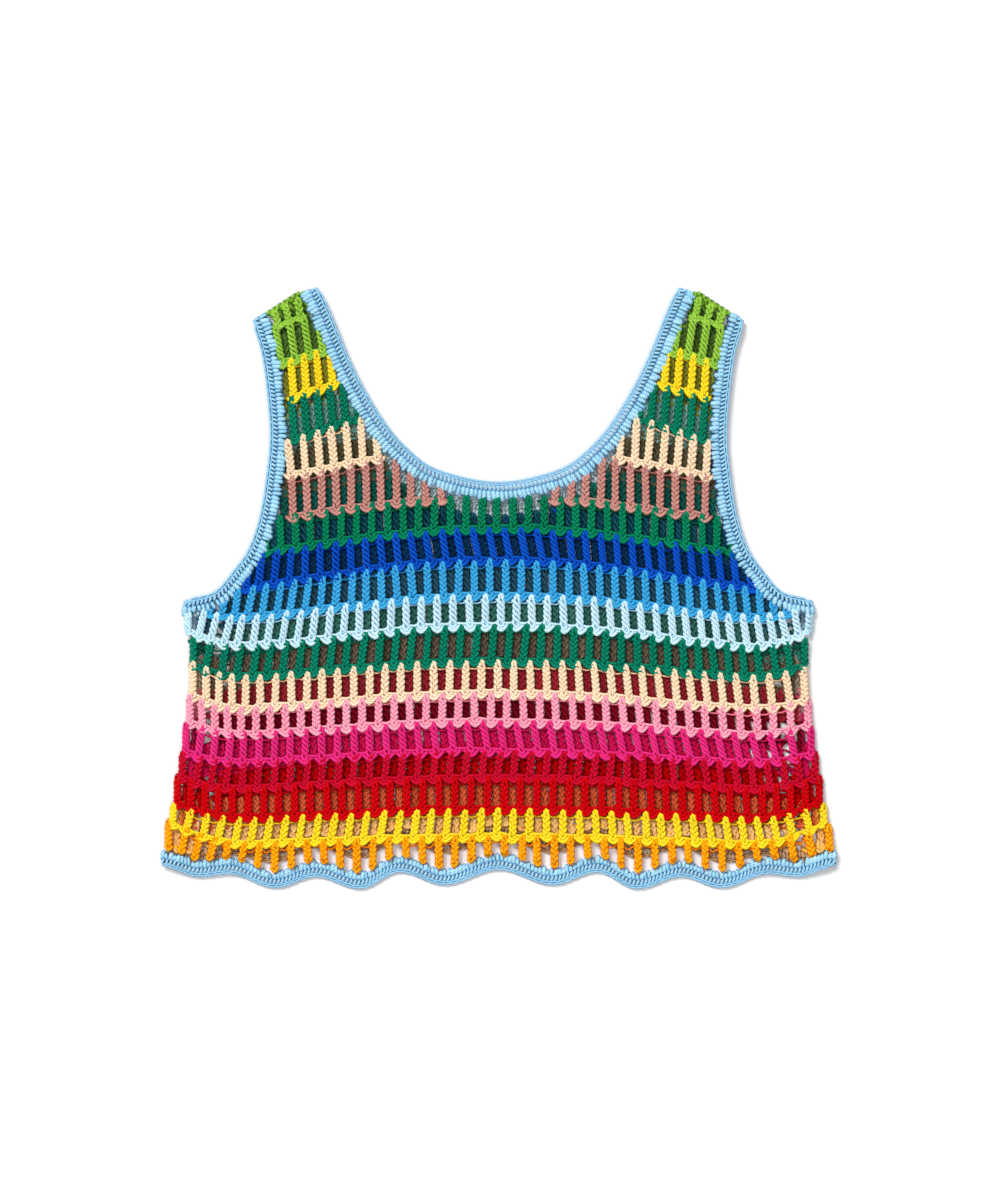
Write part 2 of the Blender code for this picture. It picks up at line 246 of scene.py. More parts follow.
def smooth(knots, step, before=None):
    """A curve through the knots, as evenly spaced points."""
    knots = np.asarray(knots, float)
    first = 2 * knots[0] - knots[1] if before is None else np.asarray(before, float)
    framed = np.vstack((first, knots, 2 * knots[-1] - knots[-2]))
    a, b, c, d = (framed[i : len(framed) - 3 + i, None, :] for i in range(4))
    t = np.linspace(0, 1, 8, endpoint=False)[None, :, None]
    dense = np.vstack((between(a, b, c, d, t).reshape(-1, knots.shape[1]), knots[-1:]))
    return evenly(dense, step)


def closed_curve(knots, parts):
    """A closed curve through the knots, with a number of points to each knot."""
    knots = np.asarray(knots, float)
    a, b, c, d = (np.roll(knots, shift, 0)[:, None, :] for shift in (1, 0, -1, -2))
    t = (np.arange(parts) / parts)[None, :, None]
    return between(a, b, c, d, t).reshape(-1, knots.shape[1])


def evenly(line, step):
    """Points at equal distances along a line, about step apart."""
    reach = np.concatenate(((0,), np.cumsum(np.linalg.norm(np.diff(line, axis=0), axis=1))))
    count = max(2, round(reach[-1] / step) + 1)
    wanted = np.linspace(0, reach[-1], count)
    return np.column_stack([np.interp(wanted, reach, column) for column in line.T])


def smoothstep(value):
    value = np.clip(value, 0, 1)
    return value * value * (3 - 2 * value)


def hem_height(x):
    """Height of the hem's free edge, level at each crest and hollow of its scallops."""
    knots = np.array(HEM_SCALLOPS)
    far = np.clip(np.abs(x), 0, knots[-1, 0])
    spot = np.clip(np.searchsorted(knots[:, 0], far) - 1, 0, len(knots) - 2)
    low, high = knots[spot], knots[spot + 1]
    share = (far - low[..., 0]) / (high[..., 0] - low[..., 0])
    return low[..., 1] + (high[..., 1] - low[..., 1]) * (1 - np.cos(np.pi * share)) / 2


def front_rise(x):
    return np.zeros_like(np.asarray(x, float))


def back_rise(x):
    """How far the back's rows and hem lie above the front's, which they meet at the sides."""
    return BACK_RISE * (1 - np.minimum(1, np.abs(x) / HEM_CORNER[0]) ** 4)


def front_base(x, h):
    """Height of the front's underside, which comes down to the table below the back's hem."""
    drop = DROP_HEIGHT - DROP_FALL * np.abs(x) / HEM_CORNER[0]
    return FRONT_BASE * (1 - smoothstep((drop - h) / DROP_RUN))


def back_base(x, h):
    return np.zeros_like(np.asarray(x, float) + h)


def foot_line(row, x):
    """Height of the lower edge of a row."""
    if row["foot"] is None:
        return hem_height(x) + HEM_BORDER - HEM_TUCK
    far = np.abs(x)
    share = (far / ROW_LOW) ** 2
    turned = np.maximum(0, far - TURN_START) / (SIDE_HALF - TURN_START)
    return row["foot"] - row["dip"] * share * (1.5 - share / 2) + row["turn"] * turned**2


def shoulder_line(x):
    """Height of the chain along the shoulder's fold."""
    (x0, h0), (x1, h1) = SHOULDER_CHAIN
    return h0 + (np.abs(x) - x0) * (h1 - h0) / (x1 - x0)


def along(points, panel_side, start=None, end=None):
    """Each point of an edge with the direction from it into the panel."""
    ahead = np.gradient(points, axis=0)
    inward = panel_side * np.column_stack((-ahead[:, 1], ahead[:, 0]))
    inward /= np.linalg.norm(inward, axis=1)[:, None]
    for spot, beside, fixed in ((0, 1, start), (-1, -2, end)):
        if fixed is not None:
            inward[spot] = fixed
            inward[beside] = (inward[beside] + fixed) / np.linalg.norm(inward[beside] + fixed)
    return points, inward


def neck_run(knots):
    points = smooth(knots, PATH_STEP, before=(-knots[1][0], knots[1][1]))
    return along(points, -1, start=np.array((0, -1)), end=SHOULDER_SLOPE)


def armhole_run():
    shoulder = np.array(NECK_SHOULDER) + SHOULDER_SLOPE * STRAP_WIDTH
    points = smooth((shoulder, *ARMHOLE_EDGE), PATH_STEP)
    return along(points, -1, start=-SHOULDER_SLOPE, end=np.array((0, -1)))


def hem_run(rise):
    x = np.linspace(0, HEM_CORNER[0], round(HEM_CORNER[0] / PATH_STEP) + 1)
    points = np.column_stack((x, hem_height(x) + rise(x)))
    return points, np.tile((0.0, 1.0), (len(x), 1))


def mirrored(run):
    points, inward = run
    return points * (-1, 1), inward * (-1, 1)


def whole(run):
    """A run from the middle outwards, made a run from side to side."""
    left = mirrored(run)
    return tuple(np.vstack((a[:0:-1], b)) for a, b in zip(left, run))


def distance_to(points, line):
    """Distance of each point from a line."""
    nearest = np.full(len(points), np.inf)
    for a, b in zip(line, line[1:]):
        span = b - a
        share = np.clip((points - a) @ span / max(span @ span, 1e-9), 0, 1)
        nearest = np.minimum(nearest, np.linalg.norm(points - a - share[:, None] * span, axis=1))
    return nearest


def inside(points, outline):
    found = np.zeros(len(points), bool)
    x, y = points.T
    for (ax, ay), (bx, by) in zip(outline, np.roll(outline, -1, axis=0)):
        if ay != by:
            crosses = (ay > y) != (by > y)
            found ^= crosses & (x < ax + (bx - ax) * (y - ay) / (by - ay))
    return found


class Panel:
    """The front or the back: where its cloth is, how high it lies, and how deep a point is in it."""

    def __init__(self, neck, rise, base, middle, depth):
        self.rise = rise
        self.base = base
        self.middle = middle  # of the layer, above its underside
        self.depth = depth  # how far strands go in and out, as a share of the front's
        arm_points, arm_inward = armhole_run()
        neck_points, neck_inward = neck_run(neck)
        hem_points, _ = hem_run(rise)
        neck_side = neck_points + neck_inward * NECK_BORDER
        arm_side = arm_points + arm_inward * ARMHOLE_BORDER
        hem_side = hem_points + (0, HEM_BORDER)
        lift = np.array((-SHOULDER_SLOPE[1], SHOULDER_SLOPE[0])) * FOLD_RADIUS
        shoulder = np.array((neck_side[-1] + lift, arm_side[0] + lift))
        top = (SIDE_EDGE[0][0], arm_side[-1][1])
        foot = (HEM_CORNER[0] + FOLD_RADIUS, hem_side[-1][1])
        side = smooth((top, *SIDE_EDGE[1:-1], foot), PATH_STEP)
        half = np.vstack((neck_side, shoulder, arm_side, side, hem_side[::-1]))
        self.side = side

        # How far each spot of a grid lies inside the panel, and inside its folds
        across = np.arange(0, GRID_WIDTH, GRID_STEP)
        up = np.arange(GRID_LOW, GRID_HIGH, GRID_STEP)
        spots = np.column_stack([grid.ravel() for grid in np.meshgrid(across, up)])
        sign = np.where(inside(spots, half), 1, -1)
        shape = (len(up), len(across))
        self.reaches = (sign * distance_to(spots, half)).reshape(shape)
        to_fold = np.minimum(distance_to(spots, shoulder), distance_to(spots, side))
        self.turns = (sign * to_fold).reshape(shape)

    def sample(self, grid, plan):
        """A grid's values at points of the plan."""
        x = np.clip(np.abs(plan[:, 0]) / GRID_STEP, 0, grid.shape[1] - 1.001)
        y = np.clip((plan[:, 1] - GRID_LOW) / GRID_STEP, 0, grid.shape[0] - 1.001)
        i, j = y.astype(int), x.astype(int)
        v, u = y - i, x - j
        low = grid[i, j] * (1 - u) + grid[i, j + 1] * u
        high = grid[i + 1, j] * (1 - u) + grid[i + 1, j + 1] * u
        return low * (1 - v) + high * v

    def reach(self, plan):
        """How far points lie inside the panel. Outside it, the distance is negative."""
        return self.sample(self.reaches, plan)

    def lay(self, plan, out, thick):
        """Puts points of the plan at their height, and rounds them over the folds."""
        x, h = plan.T
        z = self.base(x, h) + self.middle + out * self.depth
        share = np.clip((self.sample(self.turns, plan) - thick) / (FOLD_RADIUS - thick / 2), 0, 1)
        centre = np.minimum(FOLD_MIDDLE, self.base(x, h) + FOLD_MIDDLE)
        return np.column_stack((x, h, centre + (z - centre) * np.sqrt(1 - (1 - share) ** 2)))

    def side_at(self, h):
        return np.interp(h, self.side[::-1, 1], self.side[::-1, 0])


# ---------------------------------------------------------------- yarn


THIN, THIN_SIDES = 0.75, 4  # a strand of this radius or less has fewer sides
UPWARD = (0.04, 0.03, 1.0)  # a hair off straight up, as no strand runs just this way
CREASE = 0.3  # brightness of a strand's sides and underside, where the next strand shades it
CREASE_LOW, CREASE_RISE = -0.3, 1.1  # how high on its round it starts to clear, and the way to the full


class Yarn:
    """Strands of yarn that become one mesh."""

    def __init__(self, sides):
        self.sides = sides
        self.corners = []
        self.quads = []
        self.caps = []
        self.places = []
        self.tones = []
        self.shades = []
        self.count = 0

    def strand(self, line, radius, tone, start, inner, flat, closed=False):
        """A strand along a line of points. start sets where its twist begins, inner says how much of its
        upper side lies in the shade between the front and the back, and flat is its thickness as a share
        of its width."""
        sides = self.sides if np.max(radius) > THIN else THIN_SIDES
        if closed:
            tangent = np.roll(line, -1, 0) - np.roll(line, 1, 0)
        else:
            tangent = np.gradient(line, axis=0)
        tangent = tangent / np.maximum(np.linalg.norm(tangent, axis=1), 1e-9)[:, None]
        side = np.cross(tangent, UPWARD)
        side /= np.maximum(np.linalg.norm(side, axis=1), 1e-9)[:, None]
        up = np.cross(side, tangent)
        angle = 2 * np.pi * np.arange(sides) / sides
        around = np.cos(angle)[None, :, None] * side[:, None]
        above = np.sin(angle)[None, :, None] * up[:, None]
        ring = around + above
        thick = np.broadcast_to(radius, len(line))[:, None, None]
        self.corners.append((line[:, None] + thick * (around + flat * above)).reshape(-1, 3))
        crease = CREASE + (1 - CREASE) * smoothstep((ring[..., 2] - CREASE_LOW) / CREASE_RISE)
        self.tones.append((np.broadcast_to(tone, len(line))[:, None] * crease).ravel())
        hidden = np.broadcast_to(inner, len(line))[:, None]
        self.shades.append((hidden * smoothstep(1 + ring[..., 2])).ravel())

        total = len(line)
        spans = np.arange(total if closed else total - 1)
        i, j = (grid.ravel() for grid in np.meshgrid(spans, np.arange(sides), indexing="ij"))
        here, ahead, next_j = i * sides, (i + 1) % total * sides, (j + 1) % sides
        quads = np.column_stack((here + j, ahead + j, ahead + next_j, here + next_j))
        self.quads.append(quads + self.count)
        closing = np.linalg.norm(line[0] - line[-1]) if closed else 0
        lengths = np.linalg.norm(np.diff(line, axis=0), axis=1)
        reach = start + np.concatenate(((0,), np.cumsum(lengths), (lengths.sum() + closing,)))
        near, far = reach[i], reach[i + 1]
        low, high = j / sides, (j + 1) / sides
        places = np.stack((near, low, far, low, far, high, near, high), axis=1)
        self.places.append(places.reshape(-1, 2))
        if not closed:
            ends = np.arange(sides)
            self.caps += [ends + self.count, self.count + (total - 1) * sides + ends[::-1]]
        self.count += total * sides

    def build(self, name, material):
        """One object, in metres, that rides on the top's body."""
        corners = np.vstack(self.corners)
        corners = (corners - (0, LENGTH / 2, 0)) * MM
        mesh = bpy.data.meshes.new(name)
        faces = np.vstack(self.quads).tolist() + [cap.tolist() for cap in self.caps]
        mesh.from_pydata(corners.tolist(), [], faces)
        cap_places = np.zeros((sum(len(cap) for cap in self.caps), 2))
        places = np.vstack((*self.places, cap_places))
        mesh.uv_layers.new(name="yarn").data.foreach_set("uv", places.ravel().astype(np.float32))
        # tone holds each stitch's own tone together with painted shade in creases and deep strands, and
        # inner marks where the painted inner shade colour shows
        for attribute, values in (("tone", self.tones), ("inner", self.shades)):
            made = mesh.attributes.new(attribute, "FLOAT", "POINT")
            made.data.foreach_set("value", np.concatenate(values).astype(np.float32))
        mesh.shade_smooth()
        mesh.materials.append(material)
        made = bpy.data.objects.new(name, mesh)
        bpy.context.scene.collection.objects.link(made)
        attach(made, BODY)
        return made


# ---------------------------------------------------------------- tall stitches

TIP_LENGTH, FOOT_LENGTH = 5.0, 6.6  # the loop over the row above, and the lobes at the feet
TIP_SHARE, FOOT_SHARE = 0.22, 0.27  # of a short stitch's length
THIRD = 120.0  # of a turn, in degrees, that the strands make from one crossing to the next
TWIST_PHASES = (150.0, 30.0, 270.0)
BRAID_PHASES = (90.0, 330.0, 210.0)
BESIDE_OUT = 0.3  # weight of a strand's depth in telling which of the three lies leftmost

# Knots of a stitch's parts: across from its middle, down from the part's top, out of the cloth
RIGHT_LEG = (
    (-0.8, 0.9, -0.8),
    (-0.5, 0.3, 0.3),
    (0.4, 0.2, 0.9),
    (0.95, 1.0, 1.2),
    (0.95, 2.6, 1.1),
    (1.25, 3.6, 0.75),
    (1.75, 4.4, 0.35),
)
LEFT_LEG = (
    (-0.8, 2.1, -1.0),
    (-0.95, 1.2, 0.3),
    (-0.95, 2.0, 0.9),
    (-1.0, 3.0, 0.8),
    (-1.3, 3.8, 0.3),
    (-1.6, 4.4, -0.2),
)
SPUR = ((-3.6, 3.6, -1.7), (-3.0, 4.0, -0.7), (-2.2, 4.3, 0.45))
LOOPED = (RIGHT_LEG, SPUR, LEFT_LEG)
POINTED = (
    (
        (-0.3, 1.2, -0.8),
        (-0.1, 0.3, 0.2),
        (0.35, 0.5, 0.8),
        (0.75, 1.6, 1.0),
        (1.0, 2.8, 1.0),
        (1.25, 3.7, 0.7),
        (1.75, 4.4, 0.35),
    ),
    ((0.2, 2.2, -0.9), (-0.1, 3.2, 0.0), (-1.2, 4.1, 0.45)),
    (
        (0.1, 1.3, -1.0),
        (-0.25, 0.6, 0.2),
        (-0.6, 1.4, 0.7),
        (-0.9, 2.4, 0.8),
        (-1.2, 3.4, 0.5),
        (-1.6, 4.4, -0.2),
    ),
)
LEFT_LOBE = ((-2.2, 0.6, 0.1), (-2.0, 1.4, 0.3), (-1.1, 2.5, 0.5), (0.0, 3.4, 0.4), (0.6, 4.0, -0.9))
RIGHT_LOBE = (
    (2.2, 0.6, 0.1),
    (2.0, 1.4, 0.4),
    (1.2, 2.4, 0.75),
    (0.2, 3.3, 0.8),
    (-0.5, 3.8, 0.1),
    (-0.8, 4.2, -1.0),
)
INNER_LOBE = ((0.6, 0.5, 0.1), (0.3, 1.2, -1.0), (0.0, 2.2, -1.5))

# Knots of the strands that join a foot to the next, across from its middle, up from its bottom and out
# of the cloth. Each starts or ends midway between two feet.
LEFT_BASE = ((-3.6, 3.6, 0.2), (-2.4, 2.3, 0.45), (-1.0, 1.25, 0.5), (0.2, 0.85, 0.1), (0.9, 0.9, -1.1))
RIGHT_BASE = ((3.6, 3.6, 0.2), (2.4, 2.3, 0.5), (1.0, 1.2, 0.8), (-0.1, 0.8, 0.7), (-0.9, 1.1, -0.8))
BASE_CUSP = (5.3, -0.7)
BASE_THICK = 1.12  # times a strand's radius
ARC = ((-2.9, 6.3, -0.1), (-1.2, 7.4, -1.0), (1.2, 7.4, -1.0), (2.9, 6.3, -0.1))
ARC_CUSP = (5.9, 0.5)
ARC_THICK, ARC_TONE = 0.8, 1.05

# Knots of the thin strand that links the tips: across from a tip, and down from the feet of the row
# above. It hangs lowest midway between two tips.
TIP_LINK = ((-2.4, 0.3), (2.4, 0.3))
TIP_LINK_CUSP = 0.9
TIP_LINK_OUT = -0.5
TIP_LINK_THICK, TIP_LINK_TONE, TIP_LINK_STEP = 0.55, 1.1, 2.8
LINK_MOST = 1.8  # pitches between two stitches, beyond which nothing links them

TRIES = 40  # places along a stitch at which its way to the border is looked for
BODY_TRY = -8  # the place that tells whether its body lies in the panel
SLOPE_SPAN = 4.0  # how far to each side of a stitch the slope of its row is read
TIP_THICKER, TIP_NARROWS = 0.1, (1.6, 3.0)  # a strand is this much thicker at the tip, and then narrows

# How much one stitch differs from the next: across and up at its tip and its foot, in width, in
# degrees of turn, and in tone
TIP_WANDER = (0.38, 0.38)
FOOT_WANDER = (0.38, 0.34)
WIDTH_WANDER = 0.05
TURN_WANDER = 16
STRAND_TONE_WANDER = 0.03

# What a panel's stitches make of the settings. thick, width and crossing are times the setting, flat is
# a strand's thickness as a share of its width, pit is the painted shade of the strands that lie deepest,
# and step is the length between two rings of a strand. The back shows less, and is worked in longer
# steps.
FRONT_SIZES = {"thick": 1.1, "flat": 0.75, "width": 1, "crossing": 1, "pit": 0.12, "step": 1.65}
BACK_SIZES = {"thick": 1.2, "flat": 0.65, "width": 1.11, "crossing": 1.3, "pit": 0.3, "step": 2.7}
FRONT_TONE_WANDER, BACK_TONE_WANDER = 0.05, 0.16
FRONT_SIDES, BACK_SIDES = 6, 5  # of a strand


def tall_stitch(length, row, sizes, turn, bordered):
    """Knots of the three strands of a stitch. It starts with a tip, three strands go round each other
    down its body, and then they open into the lobes of its foot."""
    foot = min(FOOT_LENGTH, FOOT_SHARE * length) / FOOT_LENGTH
    tip = min(1, TIP_SHARE * length / TIP_LENGTH)
    foot_top = length - FOOT_LENGTH * foot
    body = foot_top - TIP_LENGTH * tip
    crossings = max(1, round(body / sizes.crossing))
    twisted = row["make"] == "twist"
    phases = TWIST_PHASES if twisted else BRAID_PHASES
    strands = []
    for phase, leg in zip(phases, POINTED if bordered else LOOPED):
        share = np.linspace(0, 1, crossings * 3 + 1)
        angle = np.radians(phase + turn * share + THIRD * crossings * share)
        down = TIP_LENGTH * tip + body * share
        if twisted:
            across = -sizes.half_width * np.cos(angle)
            out = sizes.half_depth * np.sin(angle)
        else:
            across = sizes.half_width * np.sin(angle)
            out = -sizes.half_depth * np.sin(2 * angle)
        strands.append((np.array(leg) * (1, tip, 1), np.column_stack((across, down, out))))
    by_side = sorted(range(3), key=lambda k: strands[k][1][-1, 0] + BESIDE_OUT * strands[k][1][-1, 2])
    feet = {by_side[0]: LEFT_LOBE, by_side[1]: INNER_LOBE, by_side[2]: RIGHT_LOBE}
    return [
        np.vstack((leg, path, np.array(feet[k]) * (1, foot, 1) + (0, foot_top, 0)))
        for k, (leg, path) in enumerate(strands)
    ]


class StitchSizes:
    """The sizes of tall stitches, in millimetres, from the settings."""

    def __init__(self, settings, on_back=False):
        made = BACK_SIZES if on_back else FRONT_SIZES
        self.flat, self.pit, self.step = made["flat"], made["pit"], made["step"]
        self.radius = settings.yarn_radius / MM * made["thick"]
        self.half_width = (settings.braid_width / MM / 2 - self.radius) * made["width"]
        self.half_depth = settings.braid_depth / MM / 2 - self.radius * self.flat
        self.crossing = settings.crossing / MM * made["crossing"]


def columns(row, shift=0.0):
    """Tip and foot of each column of a front row, across. shift moves them, in pitches."""
    if row["name"] in STRAPS:
        outer, count, lean = STRAPS[row["name"]]
        right = [outer - (number + shift) * row["pitch"] for number in range(-1 if shift else 0, count)]
        return [(x, x - lean) for x in right] + [(-x, lean - x) for x in right]
    found = []
    last = FAR_COLUMN + SPARE_COLUMNS
    for number in range(-last, last):
        share = (number + shift) / FAR_COLUMN
        middle = row["start"] + (number + shift) * row["pitch"]
        middle = middle + row["drift"] * share**2 - row["draw"] * share**3
        lean = np.interp(middle, LEAN_AT, LEANS.get(row["name"], UPRIGHT))
        found.append((middle - MIDDLE_SHARE * lean, middle + (1 - MIDDLE_SHARE) * lean))
    return found


def tip_height(index, x, rise):
    """Height that the tips of a row reach."""
    row = ROWS[index]
    top = shoulder_line(x) - CHAIN_ROOM if row["name"] in STRAPS else math.inf
    return top if index == 0 else min(top, foot_line(ROWS[index - 1], x) + rise(x) + row["lap"])


def front_stitches(index):
    """Tip and foot of each stitch of a front row."""
    row = ROWS[index]
    return [
        (np.array((tip, tip_height(index, tip, front_rise))), np.array((foot, foot_line(row, foot))))
        for tip, foot in sorted(columns(row))
    ]


GAP_SHARES = (-0.4, 1.4)  # how far up and down its lean a gap's line goes on
BACK_LEAST = 0.55  # pitches between two stitches of the back


def back_stitches(index):
    """Tip and foot of each stitch of a back row, which stands in a gap of the front row above it."""
    row = ROWS[index]
    found = []
    for above in range(max(0, index - 1), index + 1):
        front = ROWS[above]
        for tip_x, foot_x in columns(front, 0.5):
            x = (tip_x + foot_x) / 2
            high, low = tip_height(index, x, back_rise), foot_line(row, x) + back_rise(x)
            top, bottom = tip_height(above, x, front_rise), foot_line(front, x)
            middle = high * TIP_WEIGHT + low * FOOT_WEIGHT
            if not bottom <= middle < (foot_line(ROWS[above - 1], x) if above else math.inf):
                continue
            ends = []
            for h in (high, low):
                share = np.clip((top - h) / (top - bottom), *GAP_SHARES)
                ends.append(np.array((tip_x + (foot_x - tip_x) * share, h)))
            found.append(ends)
    found.sort(key=lambda ends: ends[0][0])
    least = BACK_LEAST * row["pitch"]
    return [ends for k, ends in enumerate(found) if not k or ends[0][0] - found[k - 1][0][0] > least]


def set_at_sides(stitches, row, panel, on_back):
    """Moves the outermost stitch on each side to where the side is, and its neighbours less and less.
    Returns for each stitch whether it is worked, as those beyond the outermost aren't."""
    ends = np.array(stitches)
    inset = SIDE_POST + (row["pitch"] / 2 if on_back else 0)
    edges = panel.side_at(ends[:, :, 1].mean(axis=1)) - inset
    middles = ends[:, :, 0].mean(axis=1)
    beyond = np.abs(middles) - edges
    worked = beyond <= 0
    moved = np.zeros(len(middles))
    at_side = []
    for side in (-1, 1):
        last = np.argmin(np.where(side * middles > 0, np.abs(beyond), np.inf))
        worked[last] = True
        if abs(beyond[last]) < SIDE_PULL * row["pitch"]:
            near = 1 - np.abs(middles - middles[last]) / (SIDE_SPREAD * row["pitch"])
            moved -= side * beyond[last] * np.clip(near, 0, 1)
            at_side.append(last)
    for number, (tip, foot) in enumerate(stitches):
        tip[0] += moved[number]
        foot[0] += moved[number]
        if number in at_side:
            tip[0] = foot[0] = math.copysign(edges[number], tip[0])
    return worked


class Post:
    """A stitch where it stands on the panel, with the ways down it and across it. Its tip is brought in
    to the border where it would lie beyond it, and it fits if enough of it is then left."""

    def __init__(self, tip, foot, row, panel):
        tries = tip + (foot - tip) * np.linspace(0, 1, TRIES)[:, None]
        reaches = panel.reach(tries)
        from_fold = abs(panel.sample(panel.turns, tries[:1])[0])
        within = np.flatnonzero(reaches > -BORDER_LAP)
        self.bordered = reaches[0] < TIP_SHOWN and from_fold > FOLD_NEAR
        self.hooked = row["lap"] > 0 and reaches[0] > BORDER_LAP  # on the feet of the row above
        self.tip, self.foot = tries[within[0]] if len(within) else tip, foot
        self.length = np.linalg.norm(self.tip - foot)
        self.fits = len(within) > 0 and self.length >= STITCH_LEAST and reaches[BODY_TRY] >= -BODY_REACH
        if self.fits:
            self.down = (foot - self.tip) / self.length
            ahead, behind = (foot_line(row, self.tip[0] + way * SLOPE_SPAN) for way in (1, -1))
            slope = (ahead - behind) / (2 * SLOPE_SPAN)
            self.across = np.array((1.0, slope)) / math.hypot(1, slope)
            self.short = min(1, FOOT_SHARE * self.length / FOOT_LENGTH)

    def body(self, knots, step, width):
        """One strand of the stitch, with its thickness along it."""
        path = smooth(knots, step)
        if self.bordered:
            path[:, 2] += BORDER_RISE * np.clip(1 - path[:, 1] / BORDER_SLOPE, 0, 1)
        plan = self.tip + self.down * path[:, 1:2] + self.across * path[:, :1] * width
        thick = 1 + TIP_THICKER * smoothstep(TIP_NARROWS[0] - path[:, 1] / TIP_NARROWS[1])
        return np.column_stack((plan, path[:, 2])), thick

    def at_foot(self, knots):
        """Knots given across from the foot's middle, up from its bottom and out of the cloth."""
        return [
            (*(self.foot - self.down * up * self.short + self.across * u), out) for u, up, out in knots
        ]

    def at_tip(self, knots):
        """Knots given across from the tip and down from it."""
        return [(*(self.tip + self.down * fall + self.across * u), TIP_LINK_OUT) for u, fall in knots]


def work_row(index, panel, sizes, seed, on_back):
    """The yarn of one row."""
    row = ROWS[index]
    half_pitch = row["pitch"] / 2
    random = np.random.default_rng(seed)
    light = INNER_LIGHT.get(row["name"], 1) if on_back else 1
    tone_wander = BACK_TONE_WANDER if on_back else FRONT_TONE_WANDER
    joined = on_back or index < len(ROWS) - 1  # the feet of the last row end on the hem border
    strands, arcs, tip_links = [], [], []
    stitches = back_stitches(index) if on_back else front_stitches(index)
    worked = set_at_sides(stitches, row, panel, on_back)
    for number, (tip, foot) in enumerate(stitches):
        jitter = random.normal(0, 1, 8)
        tip += np.multiply(TIP_WANDER, jitter[:2])
        foot += np.multiply(FOOT_WANDER, jitter[2:4])
        post = Post(tip, foot, row, panel)
        if not worked[number] or not post.fits:
            continue
        tone = light * (1 + tone_wander * jitter[4])
        width = 1 + WIDTH_WANDER * jitter[5]
        for knots in tall_stitch(post.length, row, sizes, TURN_WANDER * jitter[6], post.bordered):
            strand_tone = tone * (1 + STRAND_TONE_WANDER * random.normal())
            strands.append((*post.body(knots, sizes.step, width), strand_tone))
        for knots, side in ((LEFT_BASE, -1), (RIGHT_BASE, 1)) if joined else ():
            line = post.at_foot(((side * half_pitch, *BASE_CUSP), *knots))
            if abs(line[0][0]) < panel.side_at(line[0][1]) - 1:
                strands.append((smooth(line, sizes.step), BASE_THICK, tone))
        if joined:
            arcs += post.at_foot((*ARC, (half_pitch, *ARC_CUSP)))
        if post.hooked:
            falls = (*TIP_LINK, (half_pitch, TIP_LINK_CUSP))
            tip_links += post.at_tip([(u, row["lap"] + fall) for u, fall in falls])
    for knots, count, step, thick, tone in (
        (arcs, len(ARC) + 1, sizes.step, ARC_THICK, ARC_TONE),
        (tip_links, len(TIP_LINK) + 1, TIP_LINK_STEP, TIP_LINK_THICK, TIP_LINK_TONE),
    ):
        strands += [(line, thick, tone) for line in linked(knots, count, row, step)]
    yarn = Yarn(BACK_SIDES if on_back else FRONT_SIDES)
    lay_strands(yarn, strands, panel, sizes, random, inner=float(on_back))
    return yarn


CHAIN_TURNS = 3.2  # of the two strands round each other, along a shoulder
CHAIN_RINGS = 24
CHAIN_SWAY = (0.55, 0.95, 0.9)  # of its strands, across, up and out of the cloth
CHAIN_DEPTH = 0.6
CHAIN_THICK = 1.05


def shoulder_chain():
    """The two strands that join the front to the back along each shoulder."""
    (x0, h0), (x1, h1) = SHOULDER_CHAIN
    share = np.linspace(0, 1, CHAIN_RINGS)
    strands = []
    for side in (-1, 1):
        for angle in (0, np.pi):
            turn = angle + share * CHAIN_TURNS * 2 * np.pi
            x = side * (x0 + (x1 - x0) * share + CHAIN_SWAY[0] * np.cos(turn))
            h = h0 + (h1 - h0) * share + CHAIN_SWAY[1] * np.cos(turn)
            out = CHAIN_SWAY[2] * np.sin(turn) - CHAIN_DEPTH
            strands.append((np.column_stack((x, h, out)), CHAIN_THICK, 1.0))
    return strands


def linked(knots, count, row, step):
    """Thinner strands that link a row's stitches, each of which gives count of their knots."""
    stretches = [[]]
    for start in range(0, len(knots), count):
        if start and knots[start][0] - knots[start - count][0] > LINK_MOST * row["pitch"]:
            stretches.append([])
        stretches[-1] += knots[start : start + count]
    return [smooth(stretch[:-1], step) for stretch in stretches if len(stretch) > count]


FOLD_SHADE = 9.0  # how far from a fold the inner side lies in the shade
FOLD_LIGHT = 0.2  # share of it that has none
# Painted shade: strands that lie deeper in the cloth are darker, down to the pit's tone
PIT_LOW, PIT_RISE = -1.2, 1.7  # depth at which a strand's tone is the pit's, and the way up from it
LAP_SPARE = 0.5  # a strand ends this far beyond a tip's reach over a border
STRAND_LEAST = 4  # rings of the shortest strand that is kept
SKEIN_REPEAT = 9  # a strand's twist starts anywhere in this length


